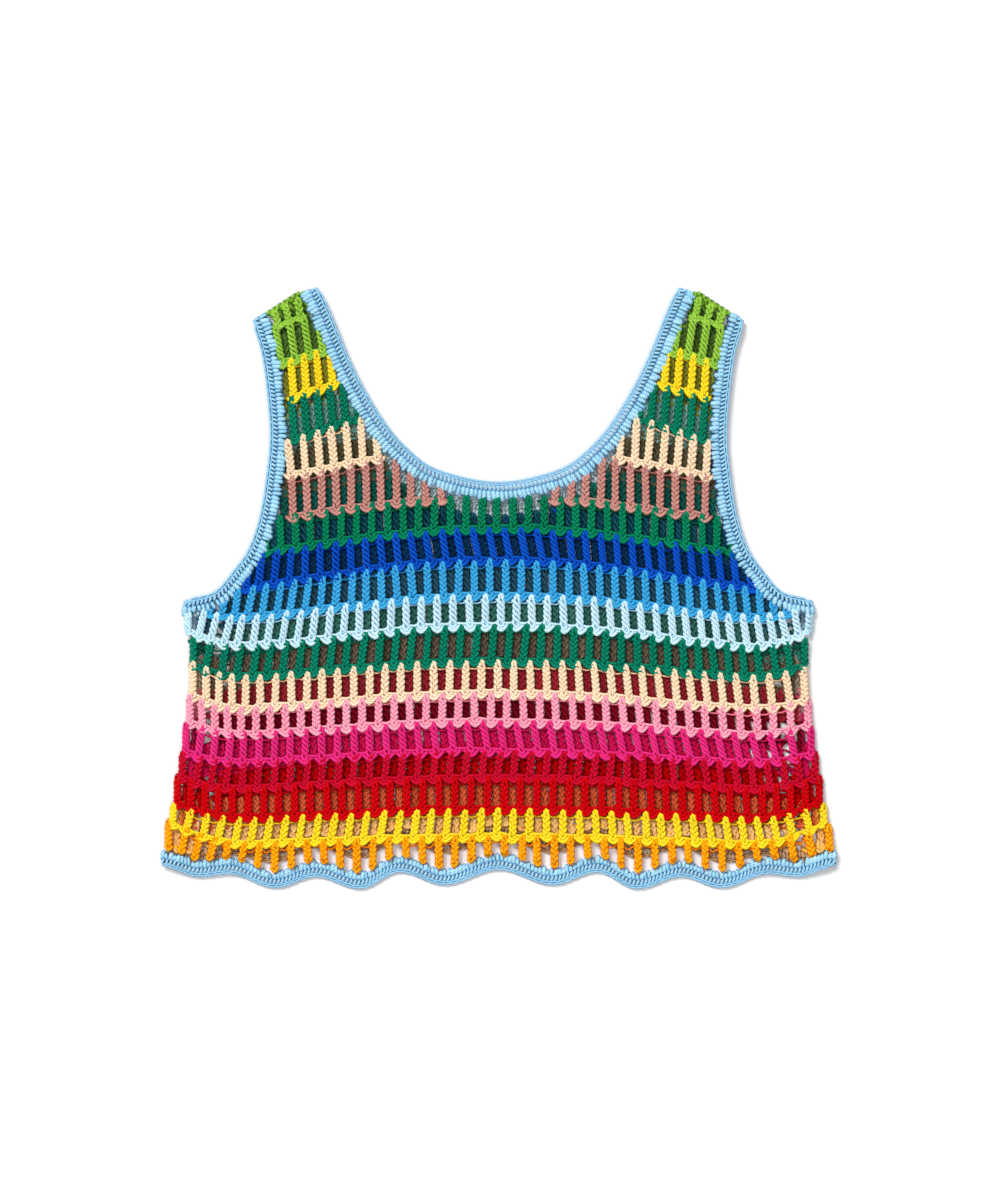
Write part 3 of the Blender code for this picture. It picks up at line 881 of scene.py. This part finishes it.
def lay_strands(yarn, strands, panel, sizes, random, inner=0.0):
    """Lays strands on the panel, and leaves out what would lie well outside it."""
    lines = np.vstack([line for line, _, _ in strands])
    far, h = np.abs(lines[:, 0]), lines[:, 1]
    beyond_fold = (h < UNDERARM[1]) & (far > panel.side_at(h) + GAP)
    kept = (panel.reach(lines[:, :2]) > -BORDER_LAP - LAP_SPARE) & ~beyond_fold
    from_fold = np.abs(panel.sample(panel.turns, lines[:, :2]))
    inner = inner * smoothstep(from_fold / FOLD_SHADE - FOLD_LIGHT)
    laid = panel.lay(lines[:, :2], lines[:, 2], sizes.radius)
    # Painted shade, darker the deeper a strand lies
    depth_shade = sizes.pit + (1 - sizes.pit) * smoothstep((lines[:, 2] - PIT_LOW) / PIT_RISE)
    start = 0
    for line, width, tone in strands:
        part = slice(start, start + len(line))
        start += len(line)
        edges = np.flatnonzero(np.diff(np.concatenate(((0,), kept[part].astype(int), (0,)))))
        for a, b in zip(edges[::2], edges[1::2]):
            if b - a >= STRAND_LEAST:
                tones = tone * depth_shade[part][a:b]
                thick = sizes.radius * np.broadcast_to(width, len(line))[a:b]
                twist = random.uniform(0, SKEIN_REPEAT)
                yarn.strand(laid[part][a:b], thick, tones, twist, inner[part][a:b], sizes.flat)


def row_cut(panel, index):
    """Width, height and area of a row from its feet to its tips, before the rows are worked together."""
    across, up = np.arange(-CUT_WIDTH, CUT_WIDTH, CUT_STEP), np.arange(0, CUT_HIGH, CUT_STEP)
    x, h = np.meshgrid(across, up)
    spots = np.column_stack((x.ravel(), h.ravel()))
    spots = spots[panel.reach(spots) > -TUCK]
    row, above = ROWS[index], ROWS[index - 1] if index else None
    x, h = spots.T
    low = foot_line(row, x) + panel.rise(x)
    high = foot_line(above, x) + panel.rise(x) + row["lap"] if above else np.inf
    kept = spots[(h < high) & (h >= low)]
    if not len(kept):
        return 0, 0, 0
    counts = np.unique(kept[:, 0], return_counts=True)[1]
    width, height = len(counts) * CUT_STEP, counts.max() * CUT_STEP
    return width, height, min(len(kept) * CUT_STEP**2, width * height)


# ---------------------------------------------------------------- borders

EDGE_PITCH = 5.6
EDGE_HIGH, EDGE_LOW = 1.75, 1.3  # of its line above the surface under the front's and the back's border
CORNER_RADIUS, CORNER_REACH = 5.0, 12  # its corners are drawn round, this far from their end
SEAM_SHARE = 0.49  # of a border's width, where its bumps meet its petals
FOLD_TURNS = np.arange(20, 180, 20.0)  # degrees on the way round a fold, between front and back

# Knots of a border's strands: along it in pitches, in from its free edge, out of the cloth
EDGE_LINK = (
    (-0.66, 1.45, -0.6),
    (-0.45, 0.80, 0.1),
    (0.00, 0.72, 0.3),
    (0.42, 0.95, 0.2),
    (0.62, 1.65, -0.1),
    (0.42, 2.25, 0.2),
    (0.00, 2.40, 0.35),
    (-0.45, 2.20, 0.1),
)
LINK_RADIUS, LINK_TONE = 0.7, 1.03
BUMP_RADIUS = 0.97
PETAL_RADIUS, PETAL_TONE, PETAL_FLAT = 1.65, 1.15, 0.5
PETAL_SHORT = 0.4  # how far inside the rim a petal ends
PETAL_WANDER = (0.8, 0.2, 0.12)  # in length, thickness and tone
WANDER_MOST = 1.5  # no petal differs by more than this many times that
EDGE_SIDES, EDGE_STEP = 5, 1.8
EDGE_TONE_WANDER = 0.04
# Painted shade: the border's deeper strands are darker
EDGE_PIT, EDGE_PIT_LOW, EDGE_PIT_RISE = 0.1, -1.1, 1.4  # tone and depth of its deepest strands
UNDER_FLATTER = 0.25  # half of what its strands' depth loses under the back
# Painted shade: a border's inner side takes its inner shade colour this far round from the back
INNER_ENDS, INNER_FADES = 60, 40  # degrees of turn from the back to where the inner tone ends


def border_frames(front_run, back_run):
    """The closed line of a border's free edge, with its directions into and out of the cloth."""
    front_points, front_inward = front_run
    back_points, back_inward = back_run
    high = front_base(*front_points.T) + EDGE_HIGH
    low, underside = np.full(len(back_points), EDGE_LOW), np.full(len(back_points), 180.0)
    points, inward, turn = fold_frames(front_points[::-1], front_inward[::-1])
    frames = (
        (np.column_stack((front_points, high)), front_inward, np.zeros(len(front_points))),
        fold_frames(front_points, front_inward),
        (np.column_stack((back_points[::-1], low)), back_inward[::-1], underside),
        (points[::-1], inward[::-1], 360 - turn[::-1]),
    )
    return [np.concatenate(parts) for parts in zip(*frames)]


def fold_frames(points, inward):
    """Frames of a border where it turns over a fold, from the front to the back."""
    forward = np.array((-inward[-1][1], inward[-1][0]))
    if forward @ (points[-1] - points[-2]) < 0:
        forward = -forward
    angle = np.radians(FOLD_TURNS)
    high = front_base(*points[-1]) + EDGE_HIGH
    middle, radius = (high + EDGE_LOW) / 2, (high - EDGE_LOW) / 2
    plan = points[-1] + forward * (radius * np.sin(angle))[:, None]
    z = middle + radius * np.cos(angle)
    return np.column_stack((plan, z)), np.tile(inward[-1], (len(angle), 1)), FOLD_TURNS


def corner_frames(run):
    """The two corners of a border's free edge, each with the ways out of it and into the cloth."""
    points, inward = run
    found = []
    for end, beside in ((0, 1), (-1, -2)):
        ahead = np.array((-inward[end][1], inward[end][0]))
        ahead *= np.sign(ahead @ (points[end] - points[beside]))
        found.append((points[end], ahead, inward[end]))
    return found


def work_border(front_run, back_run, width, lap, seed):
    """The yarn of one border ring. Its inner loops lap over the rows."""
    random = np.random.default_rng(seed)
    points, inward, turn = border_frames(front_run, back_run)
    reach = np.concatenate(((0,), np.cumsum(np.linalg.norm(np.diff(points, axis=0), axis=1))))
    total = reach[-1] + np.linalg.norm(points[0] - points[-1])
    reach = np.append(reach, total)
    points, inward = (np.vstack((part, part[:1])) for part in (points, inward))
    turn = np.append(turn, 360.0)
    ahead = np.gradient(points[:, :2], axis=0)
    count = round(total / EDGE_PITCH)
    pitch = total / count
    yarn = Yarn(EDGE_SIDES)
    corners = corner_frames(front_run)
    rim, seam = width + lap, width * SEAM_SHARE

    def place(knots):
        """Knots of the border, along it, in from its edge and out of it, put where they lie."""
        s, t, w = np.asarray(knots, float).T
        s = s % total
        origin = np.column_stack([np.interp(s, reach, column) for column in points.T])
        into = np.column_stack([np.interp(s, reach, column) for column in inward.T])
        into /= np.linalg.norm(into, axis=1)[:, None]
        facing = np.radians(np.interp(s, reach, turn))
        over = np.column_stack((-into[:, 1], into[:, 0]))
        heading = np.column_stack([np.interp(s, reach, column) for column in ahead.T])
        over *= np.where(np.sum(over * heading, axis=1) < 0, -1, 1)[:, None]
        w = w * (1 - UNDER_FLATTER + UNDER_FLATTER * np.cos(facing))
        plan = origin[:, :2] + into * t[:, None] + over * (w * np.sin(facing))[:, None]
        for end, ahead_of, inside_of in corners:
            back = np.maximum(0, CORNER_RADIUS + (plan - end) @ ahead_of)
            down = np.maximum(0, CORNER_RADIUS - (plan - end) @ inside_of)
            drawn = 1 - np.maximum(back, down) / np.maximum(np.hypot(back, down), 1e-6)
            drawn = np.where((back > 0) & (down > 0) & (back < CORNER_REACH), drawn, 0)[:, None]
            plan = plan - drawn * (back[:, None] * ahead_of - down[:, None] * inside_of)
        return np.column_stack((plan, origin[:, 2] + w * np.cos(facing)))

    def stitch(s, knots, radius, tone, closed=False, flat=1.0):
        """One strand of the border, s along it from its start."""
        knots = np.array(knots) * (pitch, 1, 1) + (s, 0, 0)
        line = closed_curve(knots, 2) if closed else smooth(knots, EDGE_STEP)
        # Painted shade on the deeper strands
        deep = EDGE_PIT + (1 - EDGE_PIT) * smoothstep((line[:, 2] - EDGE_PIT_LOW) / EDGE_PIT_RISE)
        from_back = abs(np.interp(s % total, reach, turn) - 180)
        inner = smoothstep((INNER_ENDS - from_back) / INNER_FADES)
        twist = random.uniform(0, SKEIN_REPEAT)
        if flat < 1:
            rings = np.arange(len(line))
            radius = radius * np.clip(0.5 + np.minimum(rings, rings[::-1]), 0, 1)
        yarn.strand(place(line), radius, tone * deep, twist, inner, flat, closed)

    for number in range(count):
        s = number * pitch
        shade = 1 + EDGE_TONE_WANDER * random.normal()
        stitch(s, EDGE_LINK, LINK_RADIUS, shade * LINK_TONE, closed=True)
        for part in (-0.25, 0.25):
            bump = (
                (part - 0.17, 2.7, -0.9),
                (part - 0.10, 3.2, 0.2),
                (part + 0.05, seam - 0.7, 0.45),
                (part + 0.15, seam + 0.5, -0.6),
            )
            stitch(s, bump, BUMP_RADIUS, shade)
        for part in (-0.25, 0.25):
            long, slant, light = np.clip(random.normal(0, 1, 3), -WANDER_MOST, WANDER_MOST)
            end = rim - PETAL_SHORT + PETAL_WANDER[0] * long
            petal = (
                (part - 0.08, seam, -0.8),
                (part - 0.05, seam + 1.2, 0.15 * slant),
                (part + 0.08 * slant, end - 1.8, 0.2 * slant),
                (part + 0.12 * slant, end - 0.2, -0.8),
            )
            radius = PETAL_RADIUS + PETAL_WANDER[1] * slant
            tone = PETAL_TONE + PETAL_WANDER[2] * light
            stitch(s, petal, radius, tone, flat=PETAL_FLAT)
    return yarn, total


# ---------------------------------------------------------------- materials


SHINE, SHEEN_ROUGHNESS = 0.45, 0.45
FLOOR_ROUGHNESS, FLOOR_SHINE = 0.9, 0.1
FIBRES_ROUND, FIBRES_ALONG = 26.0, 0.45  # how fine the fibres are, round a strand and along it
MOTTLE = 180.0  # how fine the mottling is, in each metre

# Brightness that a pattern gives the yarn's colour: what its value is multiplied by, and what is added.
# The plies' pattern paints shade into the grooves between them; the fibres and the mottle are the yarn's
# own tone
PLY_LIGHT = (0.34, 0.74)
FIBRE_LIGHT = (0.5, 0.75)
MOTTLE_LIGHT = (0.3, 0.85)

FIBRE_RELIEF = 0.35  # as a share of the plies' own
RELIEF_STRENGTH, RELIEF_DEPTH = 0.6, 0.35


def cotton(name, colour, settings, inner_shade_colour=None):
    """Matt cotton yarn: twisted plies with painted shade in the grooves between them, fine fibres, and a
    tone for each stitch that also holds painted shade in its creases and deep strands, and painted light
    under the hem. Its last argument is the painted shade colour that it takes where it lies between the
    front and the back."""
    material = bpy.data.materials.new(name)
    material.use_nodes = True
    material.diffuse_color = (*colour, 1)
    tree = material.node_tree
    shader = tree.nodes["Principled BSDF"]
    shader.inputs["Roughness"].default_value = settings.roughness
    shader.inputs["Specular IOR Level"].default_value = SHINE
    shader.inputs["Sheen Weight"].default_value = settings.sheen
    shader.inputs["Sheen Roughness"].default_value = SHEEN_ROUGHNESS
    shader.inputs["Specular Tint"].default_value = (*colour, 1)
    shader.inputs["Sheen Tint"].default_value = (*colour, 1)

    def node(kind, **values):
        made = tree.nodes.new(kind)
        for key, value in values.items():
            setattr(made, key, value)
        return made

    def noise(spot, scale, detail):
        made = node("ShaderNodeTexNoise", noise_dimensions="3D")
        made.inputs["Scale"].default_value = scale
        made.inputs["Detail"].default_value = detail
        tree.links.new(spot, made.inputs["Vector"])
        return made.outputs[0]

    def worked_out(kind, operation, *values):
        """What a node makes of numbers and of other nodes' outputs."""
        made = node(kind, operation=operation)
        sockets = (made.inputs[0], made.inputs["Scale"]) if operation == "SCALE" else made.inputs
        for socket, value in zip(sockets, values):
            if isinstance(value, bpy.types.NodeSocket):
                tree.links.new(value, socket)
            else:
                socket.default_value = value
        return made.outputs[0]

    def number(operation, *values):
        return worked_out("ShaderNodeMath", operation, *values)

    def vector(operation, *values):
        return worked_out("ShaderNodeVectorMath", operation, *values)

    place = node("ShaderNodeUVMap", uv_map="yarn")
    split = node("ShaderNodeSeparateXYZ")
    tree.links.new(place.outputs["UV"], split.inputs[0])
    reach, round_it = split.outputs[0], split.outputs[1]

    turns = number("MULTIPLY_ADD", reach, 1 / (settings.ply_length / MM), round_it)
    wave = number("SINE", number("MULTIPLY", turns, 2 * math.pi * settings.plies))
    ply = number("POWER", number("MULTIPLY_ADD", wave, 0.5, 0.5), 0.5)
    stretched = node("ShaderNodeCombineXYZ")
    tree.links.new(number("MULTIPLY", turns, FIBRES_ROUND), stretched.inputs[0])
    tree.links.new(number("MULTIPLY", reach, FIBRES_ALONG), stretched.inputs[1])
    fibres = noise(stretched.outputs[0], 1.0, 3.0)
    mottle = noise(node("ShaderNodeTexCoord").outputs["Object"], MOTTLE, 2.0)
    # Painted shade in the grooves between the plies
    light = number("MULTIPLY_ADD", ply, *PLY_LIGHT)
    light = number("MULTIPLY", light, number("MULTIPLY_ADD", fibres, *FIBRE_LIGHT))
    light = number("MULTIPLY", light, number("MULTIPLY_ADD", mottle, *MOTTLE_LIGHT))

    # Painted shade: where the inner attribute is set, the yarn takes its inner shade colour in place of
    # its own
    inner = node("ShaderNodeAttribute", attribute_name="inner")
    mixed = node("ShaderNodeMix", data_type="VECTOR")
    mixed.inputs[4].default_value = colour
    mixed.inputs[5].default_value = inner_shade_colour or colour
    tree.links.new(inner.outputs["Fac"], mixed.inputs[0])
    # Painted shade: the tone darkens the colour as light does that meets the dye more than once in a
    # crease: dye * tone / (1 - (1 - tone) * dye)
    tone = node("ShaderNodeAttribute", attribute_name="tone").outputs["Fac"]
    dye_and_inner_shade = mixed.outputs[1]
    rest = vector("MULTIPLY_ADD", dye_and_inner_shade, number("SUBTRACT", tone, 1.0), (1, 1, 1))
    creased = vector("DIVIDE", vector("SCALE", dye_and_inner_shade, tone), rest)
    tree.links.new(vector("SCALE", creased, light), shader.inputs["Base Color"])

    bump = node("ShaderNodeBump")
    bump.inputs["Strength"].default_value = RELIEF_STRENGTH
    bump.inputs["Distance"].default_value = RELIEF_DEPTH * MM
    tree.links.new(number("MULTIPLY_ADD", fibres, FIBRE_RELIEF, ply), bump.inputs["Height"])
    tree.links.new(bump.outputs[0], shader.inputs["Normal"])
    return material


def floor_paint(settings):
    material = bpy.data.materials.new("studio_floor")
    material.use_nodes = True
    shader = material.node_tree.nodes["Principled BSDF"]
    shader.inputs["Base Color"].default_value = (*settings.floor, 1)
    shader.inputs["Roughness"].default_value = FLOOR_ROUGHNESS
    shader.inputs["Specular IOR Level"].default_value = FLOOR_SHINE
    return material


# ---------------------------------------------------------------- settings


def srgb(code):
    """A colour from its six-digit code, as the linear values that materials take."""
    parts = [int(code[i : i + 2], 16) / 255 for i in (0, 2, 4)]
    return tuple(p / 12.92 if p <= 0.04045 else ((p + 0.055) / 1.055) ** 2.4 for p in parts)


def colour_setting(label, code):
    return FloatVectorProperty(
        name=label,
        description=f"Colour of the {label.lower()}",
        default=srgb(code),
        size=3,
        min=0,
        max=1,
        subtype="COLOR",
    )


def length_setting(label, description, default):
    return FloatProperty(name=label, description=description, default=default, unit="LENGTH")


def share_setting(label, description, default):
    return FloatProperty(
        name=label, description=description, default=default, min=0, max=1, subtype="FACTOR"
    )


def light_setting(label, description, default):
    return FloatProperty(name=label, description=description, default=default, min=0)


class CROCHET_PG_yarn(bpy.types.PropertyGroup):
    """The yarn: its twist, its finish and the colour of each skein."""

    ply_length: length_setting("Ply length", "Length in which a ply goes once round", 7.0 * MM)
    plies: IntProperty(name="Plies", description="Plies twisted together in a strand", default=3, min=1)
    roughness: share_setting("Roughness", "Roughness of the cotton", 0.55)
    sheen: share_setting("Sheen", "Soft light from the fibres on the yarn", 0.08)
    light_green: colour_setting("Light green yarn", "9ACA48")
    yellow: colour_setting("Yellow yarn", "FCE22C")
    dark_green: colour_setting("Dark green yarn", "0C8062")
    cream: colour_setting("Cream yarn", "FAE2C2")
    dusty_rose: colour_setting("Dusty rose yarn", "CC9288")
    emerald: colour_setting("Emerald yarn", "0A845C")
    royal_blue: colour_setting("Royal blue yarn", "1054C4")
    sky_blue: colour_setting("Sky blue yarn", "40ACE0")
    pale_aqua: colour_setting("Pale aqua yarn", "D0EFFA")
    green: colour_setting("Green yarn", "0C8266")
    pink: colour_setting("Pink yarn", "FCAAC0")
    magenta: colour_setting("Magenta yarn", "EA3084")
    crimson: colour_setting("Crimson yarn", "CC1030")
    red: colour_setting("Red yarn", "D20812")
    orange: colour_setting("Orange yarn", "FFB010")
    border: colour_setting("Border yarn", "A8DCF6")


class CROCHET_PG_stitches(bpy.types.PropertyGroup):
    """The sizes of a tall stitch."""

    braid_width: length_setting("Stitch width", "Width of a tall stitch's body", 6.4 * MM)
    braid_depth: length_setting("Stitch depth", "Thickness of a tall stitch's body", 3.4 * MM)
    yarn_radius: length_setting("Strand radius", "Half the thickness of a strand in a stitch", 1.08 * MM)
    crossing: length_setting("Crossing", "Length between two crossings of the strands", 3.5 * MM)
    seed: IntProperty(
        name="Seed", description="Start of the small differences between stitches", default=7, min=0
    )


class CROCHET_PG_studio(bpy.types.PropertyGroup):
    """The camera, the lights and the floor."""

    view_height: length_setting("View height", "Height of what the camera frames", 0.8316)
    distance: length_setting("Camera distance", "Distance of the camera above the top", 4.0)
    aim_x: length_setting("Aim across", "Where the camera aims, across the top", 0.0007)
    aim_y: length_setting("Aim up", "Where the camera aims, up the top", -0.0046)
    key: light_setting("Key light", "Strength of the key light", 2.6)
    fill: light_setting("Overhead light", "Strength of the overhead light", 0.9)
    sky: light_setting("Surrounding light", "Strength of the light all round", 0.3)
    floor: FloatVectorProperty(
        name="Floor",
        description="Colour of the floor",
        default=(0.94, 0.94, 0.94),
        size=3,
        min=0,
        max=1,
        subtype="COLOR",
    )


class CROCHET_PG_top(bpy.types.PropertyGroup):
    """All settings of the crochet top."""

    yarn: PointerProperty(type=CROCHET_PG_yarn)
    stitches: PointerProperty(type=CROCHET_PG_stitches)
    studio: PointerProperty(type=CROCHET_PG_studio)


# ---------------------------------------------------------------- operators


def front_panel():
    return Panel(NECK_EDGE, front_rise, front_base, FRONT_MIDDLE, 1.0)


def back_panel():
    return Panel(BACK_NECK_EDGE, back_rise, back_base, BACK_MIDDLE, BACK_DEPTH)


# Where each piece's random draws start, which the seed of the settings moves by SEEDS at a time
SEEDS = 1000
BACK_SEED, NECK_SEED, ARMHOLE_SEED, HEM_SEED = 100, 201, 301, 401

# How far the borders' inner loops lap over the rows, and the colour of their inner side under the front,
# painted as it looks in the shade and light there
NECK_LAP, ARMHOLE_LAP, HEM_LAP = 1.6, 1.6, 0.2
NECK_INNER, ARMHOLE_INNER, HEM_INNER = "BCCED0", "6C94B4", "CCA070"


def work_rows(context, side):
    """All rows of a panel, each a piece in its own yarn."""
    settings = context.scene.crochet_top
    on_back = side == "back"
    panel = back_panel() if on_back else front_panel()
    sizes = StitchSizes(settings.stitches, on_back)
    for index, row in enumerate(ROWS):
        width, height, area = row_cut(panel, index)
        if height < ROW_LEAST:  # above the back's shoulders
            continue
        colour = getattr(settings.yarn, row["yarn"])
        # On the back, the yarn's inner side takes a painted shade colour
        inner_shade_colour = srgb(INNER_SHADE_COLOURS[row["name"]]) if on_back else None
        material = cotton(f"{side}_{row['name']}_yarn", colour, settings.yarn, inner_shade_colour)
        seed = settings.stitches.seed * SEEDS + index + (BACK_SEED if on_back else 0)
        yarn = work_row(index, panel, sizes, seed, on_back)
        piece = yarn.build(f"{side}_row_{index + 1:02d}_{row['name']}", material)
        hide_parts(f"{side}_panel")


class CROCHET_OT_front_rows(bpy.types.Operator):
    """Work the rows of the front"""

    bl_idname = "crochet.front_rows"
    bl_label = "Front Rows"

    def execute(self, context):
        work_rows(context, "front")
        return {"FINISHED"}


class CROCHET_OT_shoulder_chains(bpy.types.Operator):
    """Work the chains that join the front to the back along the shoulders"""

    bl_idname = "crochet.shoulder_chains"
    bl_label = "Shoulder Chains"

    def execute(self, context):
        settings = context.scene.crochet_top
        sizes = StitchSizes(settings.stitches)
        yarn = Yarn(FRONT_SIDES)
        random = np.random.default_rng(settings.stitches.seed)
        lay_strands(yarn, shoulder_chain(), front_panel(), sizes, random)
        material = bpy.data.materials["front_light_green_upper_yarn"]
        piece = yarn.build("shoulder_chains", material)
        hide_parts("front_panel")
        return {"FINISHED"}


class CROCHET_OT_back_rows(bpy.types.Operator):
    """Work the rows of the back"""

    bl_idname = "crochet.back_rows"
    bl_label = "Back Rows"

    def execute(self, context):
        work_rows(context, "back")
        return {"FINISHED"}


def add_border(context, node, front_run, back_run, width, lap, inner_shade_colour, seed):
    """One border, a piece that stands for a node of the solids."""
    settings = context.scene.crochet_top
    yarn, total = work_border(front_run, back_run, width, lap, settings.stitches.seed * SEEDS + seed)
    material = cotton(f"{node}_yarn", settings.yarn.border, settings.yarn, srgb(inner_shade_colour))
    piece = yarn.build(f"{node}_yarn", material)
    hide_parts(node)


class CROCHET_OT_neck_border(bpy.types.Operator):
    """Work the border round the neck"""

    bl_idname = "crochet.neck_border"
    bl_label = "Neck Border"

    def execute(self, context):
        front, back = whole(neck_run(NECK_EDGE)), whole(neck_run(BACK_NECK_EDGE))
        add_border(context, "neck_border", front, back, NECK_BORDER, NECK_LAP, NECK_INNER, NECK_SEED)
        return {"FINISHED"}


class CROCHET_OT_armhole_borders(bpy.types.Operator):
    """Work the border round each armhole"""

    bl_idname = "crochet.armhole_borders"
    bl_label = "Armhole Borders"

    def execute(self, context):
        run = armhole_run()
        for seed, (side, edge) in enumerate((("right", run), ("left", mirrored(run))), ARMHOLE_SEED):
            node = f"armhole_border_{side}"
            add_border(context, node, edge, edge, ARMHOLE_BORDER, ARMHOLE_LAP, ARMHOLE_INNER, seed)
        return {"FINISHED"}


class CROCHET_OT_hem_border(bpy.types.Operator):
    """Work the scalloped border of the hem"""

    bl_idname = "crochet.hem_border"
    bl_label = "Hem Border"

    def execute(self, context):
        front, back = whole(hem_run(front_rise)), whole(hem_run(back_rise))
        add_border(context, "hem_border", front, back, HEM_BORDER, HEM_LAP, HEM_INNER, HEM_SEED)
        return {"FINISHED"}


KEY_PLACE, KEY_WIDTH = (-0.8, 1.1, 1.5), 26.0
OVERHEAD_PLACE, OVERHEAD_WIDTH = (0.5, -0.3, 2.0), 40.0
FLOOR_HALF, FLOOR_DEPTH = 12.0, 0.4  # in metres, and in millimetres below the top
SENSOR, FAR_CLIP = 24.0, 50


class CROCHET_OT_studio(bpy.types.Operator):
    """Set up the floor, the lights and the camera"""

    bl_idname = "crochet.studio"
    bl_label = "Studio"

    def execute(self, context):
        settings = context.scene.crochet_top.studio
        add_floor(settings)
        add_light("key_light", KEY_PLACE, settings.key, KEY_WIDTH)
        add_light("overhead_light", OVERHEAD_PLACE, settings.fill, OVERHEAD_WIDTH)
        add_surrounding(context, settings)
        add_camera(context, settings)
        return {"FINISHED"}


def add_floor(settings):
    mesh = bpy.data.meshes.new("floor")
    corners = [(x * FLOOR_HALF, y * FLOOR_HALF, 0) for x, y in ((-1, -1), (1, -1), (1, 1), (-1, 1))]
    mesh.from_pydata(corners, [], [(0, 1, 2, 3)])
    mesh.materials.append(floor_paint(settings))
    floor = bpy.data.objects.new("floor", mesh)
    floor.location.z = -FLOOR_DEPTH * MM
    bpy.context.scene.collection.objects.link(floor)


def add_light(name, place, strength, width):
    """A far, even light. width is the angle in degrees that it fills, which softens its shadows."""
    light = bpy.data.lights.new(name, "SUN")
    light.energy = strength
    light.angle = math.radians(width)
    made = bpy.data.objects.new(name, light)
    made.location = place
    made.rotation_euler = (-Vector(place)).to_track_quat("-Z", "Y").to_euler()
    bpy.context.scene.collection.objects.link(made)


def add_surrounding(context, settings):
    world = bpy.data.worlds.new("studio")
    world.use_nodes = True
    background = world.node_tree.nodes["Background"]
    background.inputs["Color"].default_value = (1, 1, 1, 1)
    background.inputs["Strength"].default_value = settings.sky
    context.scene.world = world
    context.scene.view_settings.view_transform = "Standard"


def add_camera(context, settings):
    """Straight above the top, and so far off that what is nearer hardly looks larger."""
    lens = bpy.data.cameras.new("camera")
    lens.sensor_fit = "VERTICAL"
    lens.sensor_height = SENSOR
    lens.lens = lens.sensor_height * settings.distance / settings.view_height
    lens.clip_end = FAR_CLIP
    camera = bpy.data.objects.new("camera", lens)
    camera.location = (settings.aim_x, settings.aim_y, settings.distance)
    context.scene.collection.objects.link(camera)
    context.scene.camera = camera


# ---------------------------------------------------------------- sidebar


class CROCHET_PT_top(bpy.types.Panel):
    """Buttons for each group of pieces, and their settings"""

    bl_label = "Crochet Top"
    bl_idname = "CROCHET_PT_top"
    bl_space_type = "VIEW_3D"
    bl_region_type = "UI"
    bl_category = "Crochet Top"

    def draw(self, context):
        settings = context.scene.crochet_top
        for operator in OPERATORS:
            self.layout.operator(operator.bl_idname)
        for group in (settings.yarn, settings.stitches, settings.studio):
            box = self.layout.box()
            for name in group.__annotations__:
                box.prop(group, name)


GROUPS = (CROCHET_PG_yarn, CROCHET_PG_stitches, CROCHET_PG_studio, CROCHET_PG_top)
OPERATORS = (
    CROCHET_OT_front_rows,
    CROCHET_OT_shoulder_chains,
    CROCHET_OT_back_rows,
    CROCHET_OT_neck_border,
    CROCHET_OT_armhole_borders,
    CROCHET_OT_hem_border,
    CROCHET_OT_studio,
)


def register():
    for made in (*GROUPS, *OPERATORS, CROCHET_PT_top):
        bpy.utils.register_class(made)
    bpy.types.Scene.crochet_top = PointerProperty(type=CROCHET_PG_top)


def unregister():
    del bpy.types.Scene.crochet_top
    for made in reversed((*GROUPS, *OPERATORS, CROCHET_PT_top)):
        bpy.utils.unregister_class(made)


def main():
    register()
    bpy.ops.crochet.studio()
    bpy.ops.crochet.back_rows()
    bpy.ops.crochet.front_rows()
    bpy.ops.crochet.shoulder_chains()
    bpy.ops.crochet.neck_border()
    bpy.ops.crochet.armhole_borders()
    bpy.ops.crochet.hem_border()


if __name__ == "__main__":
    main()
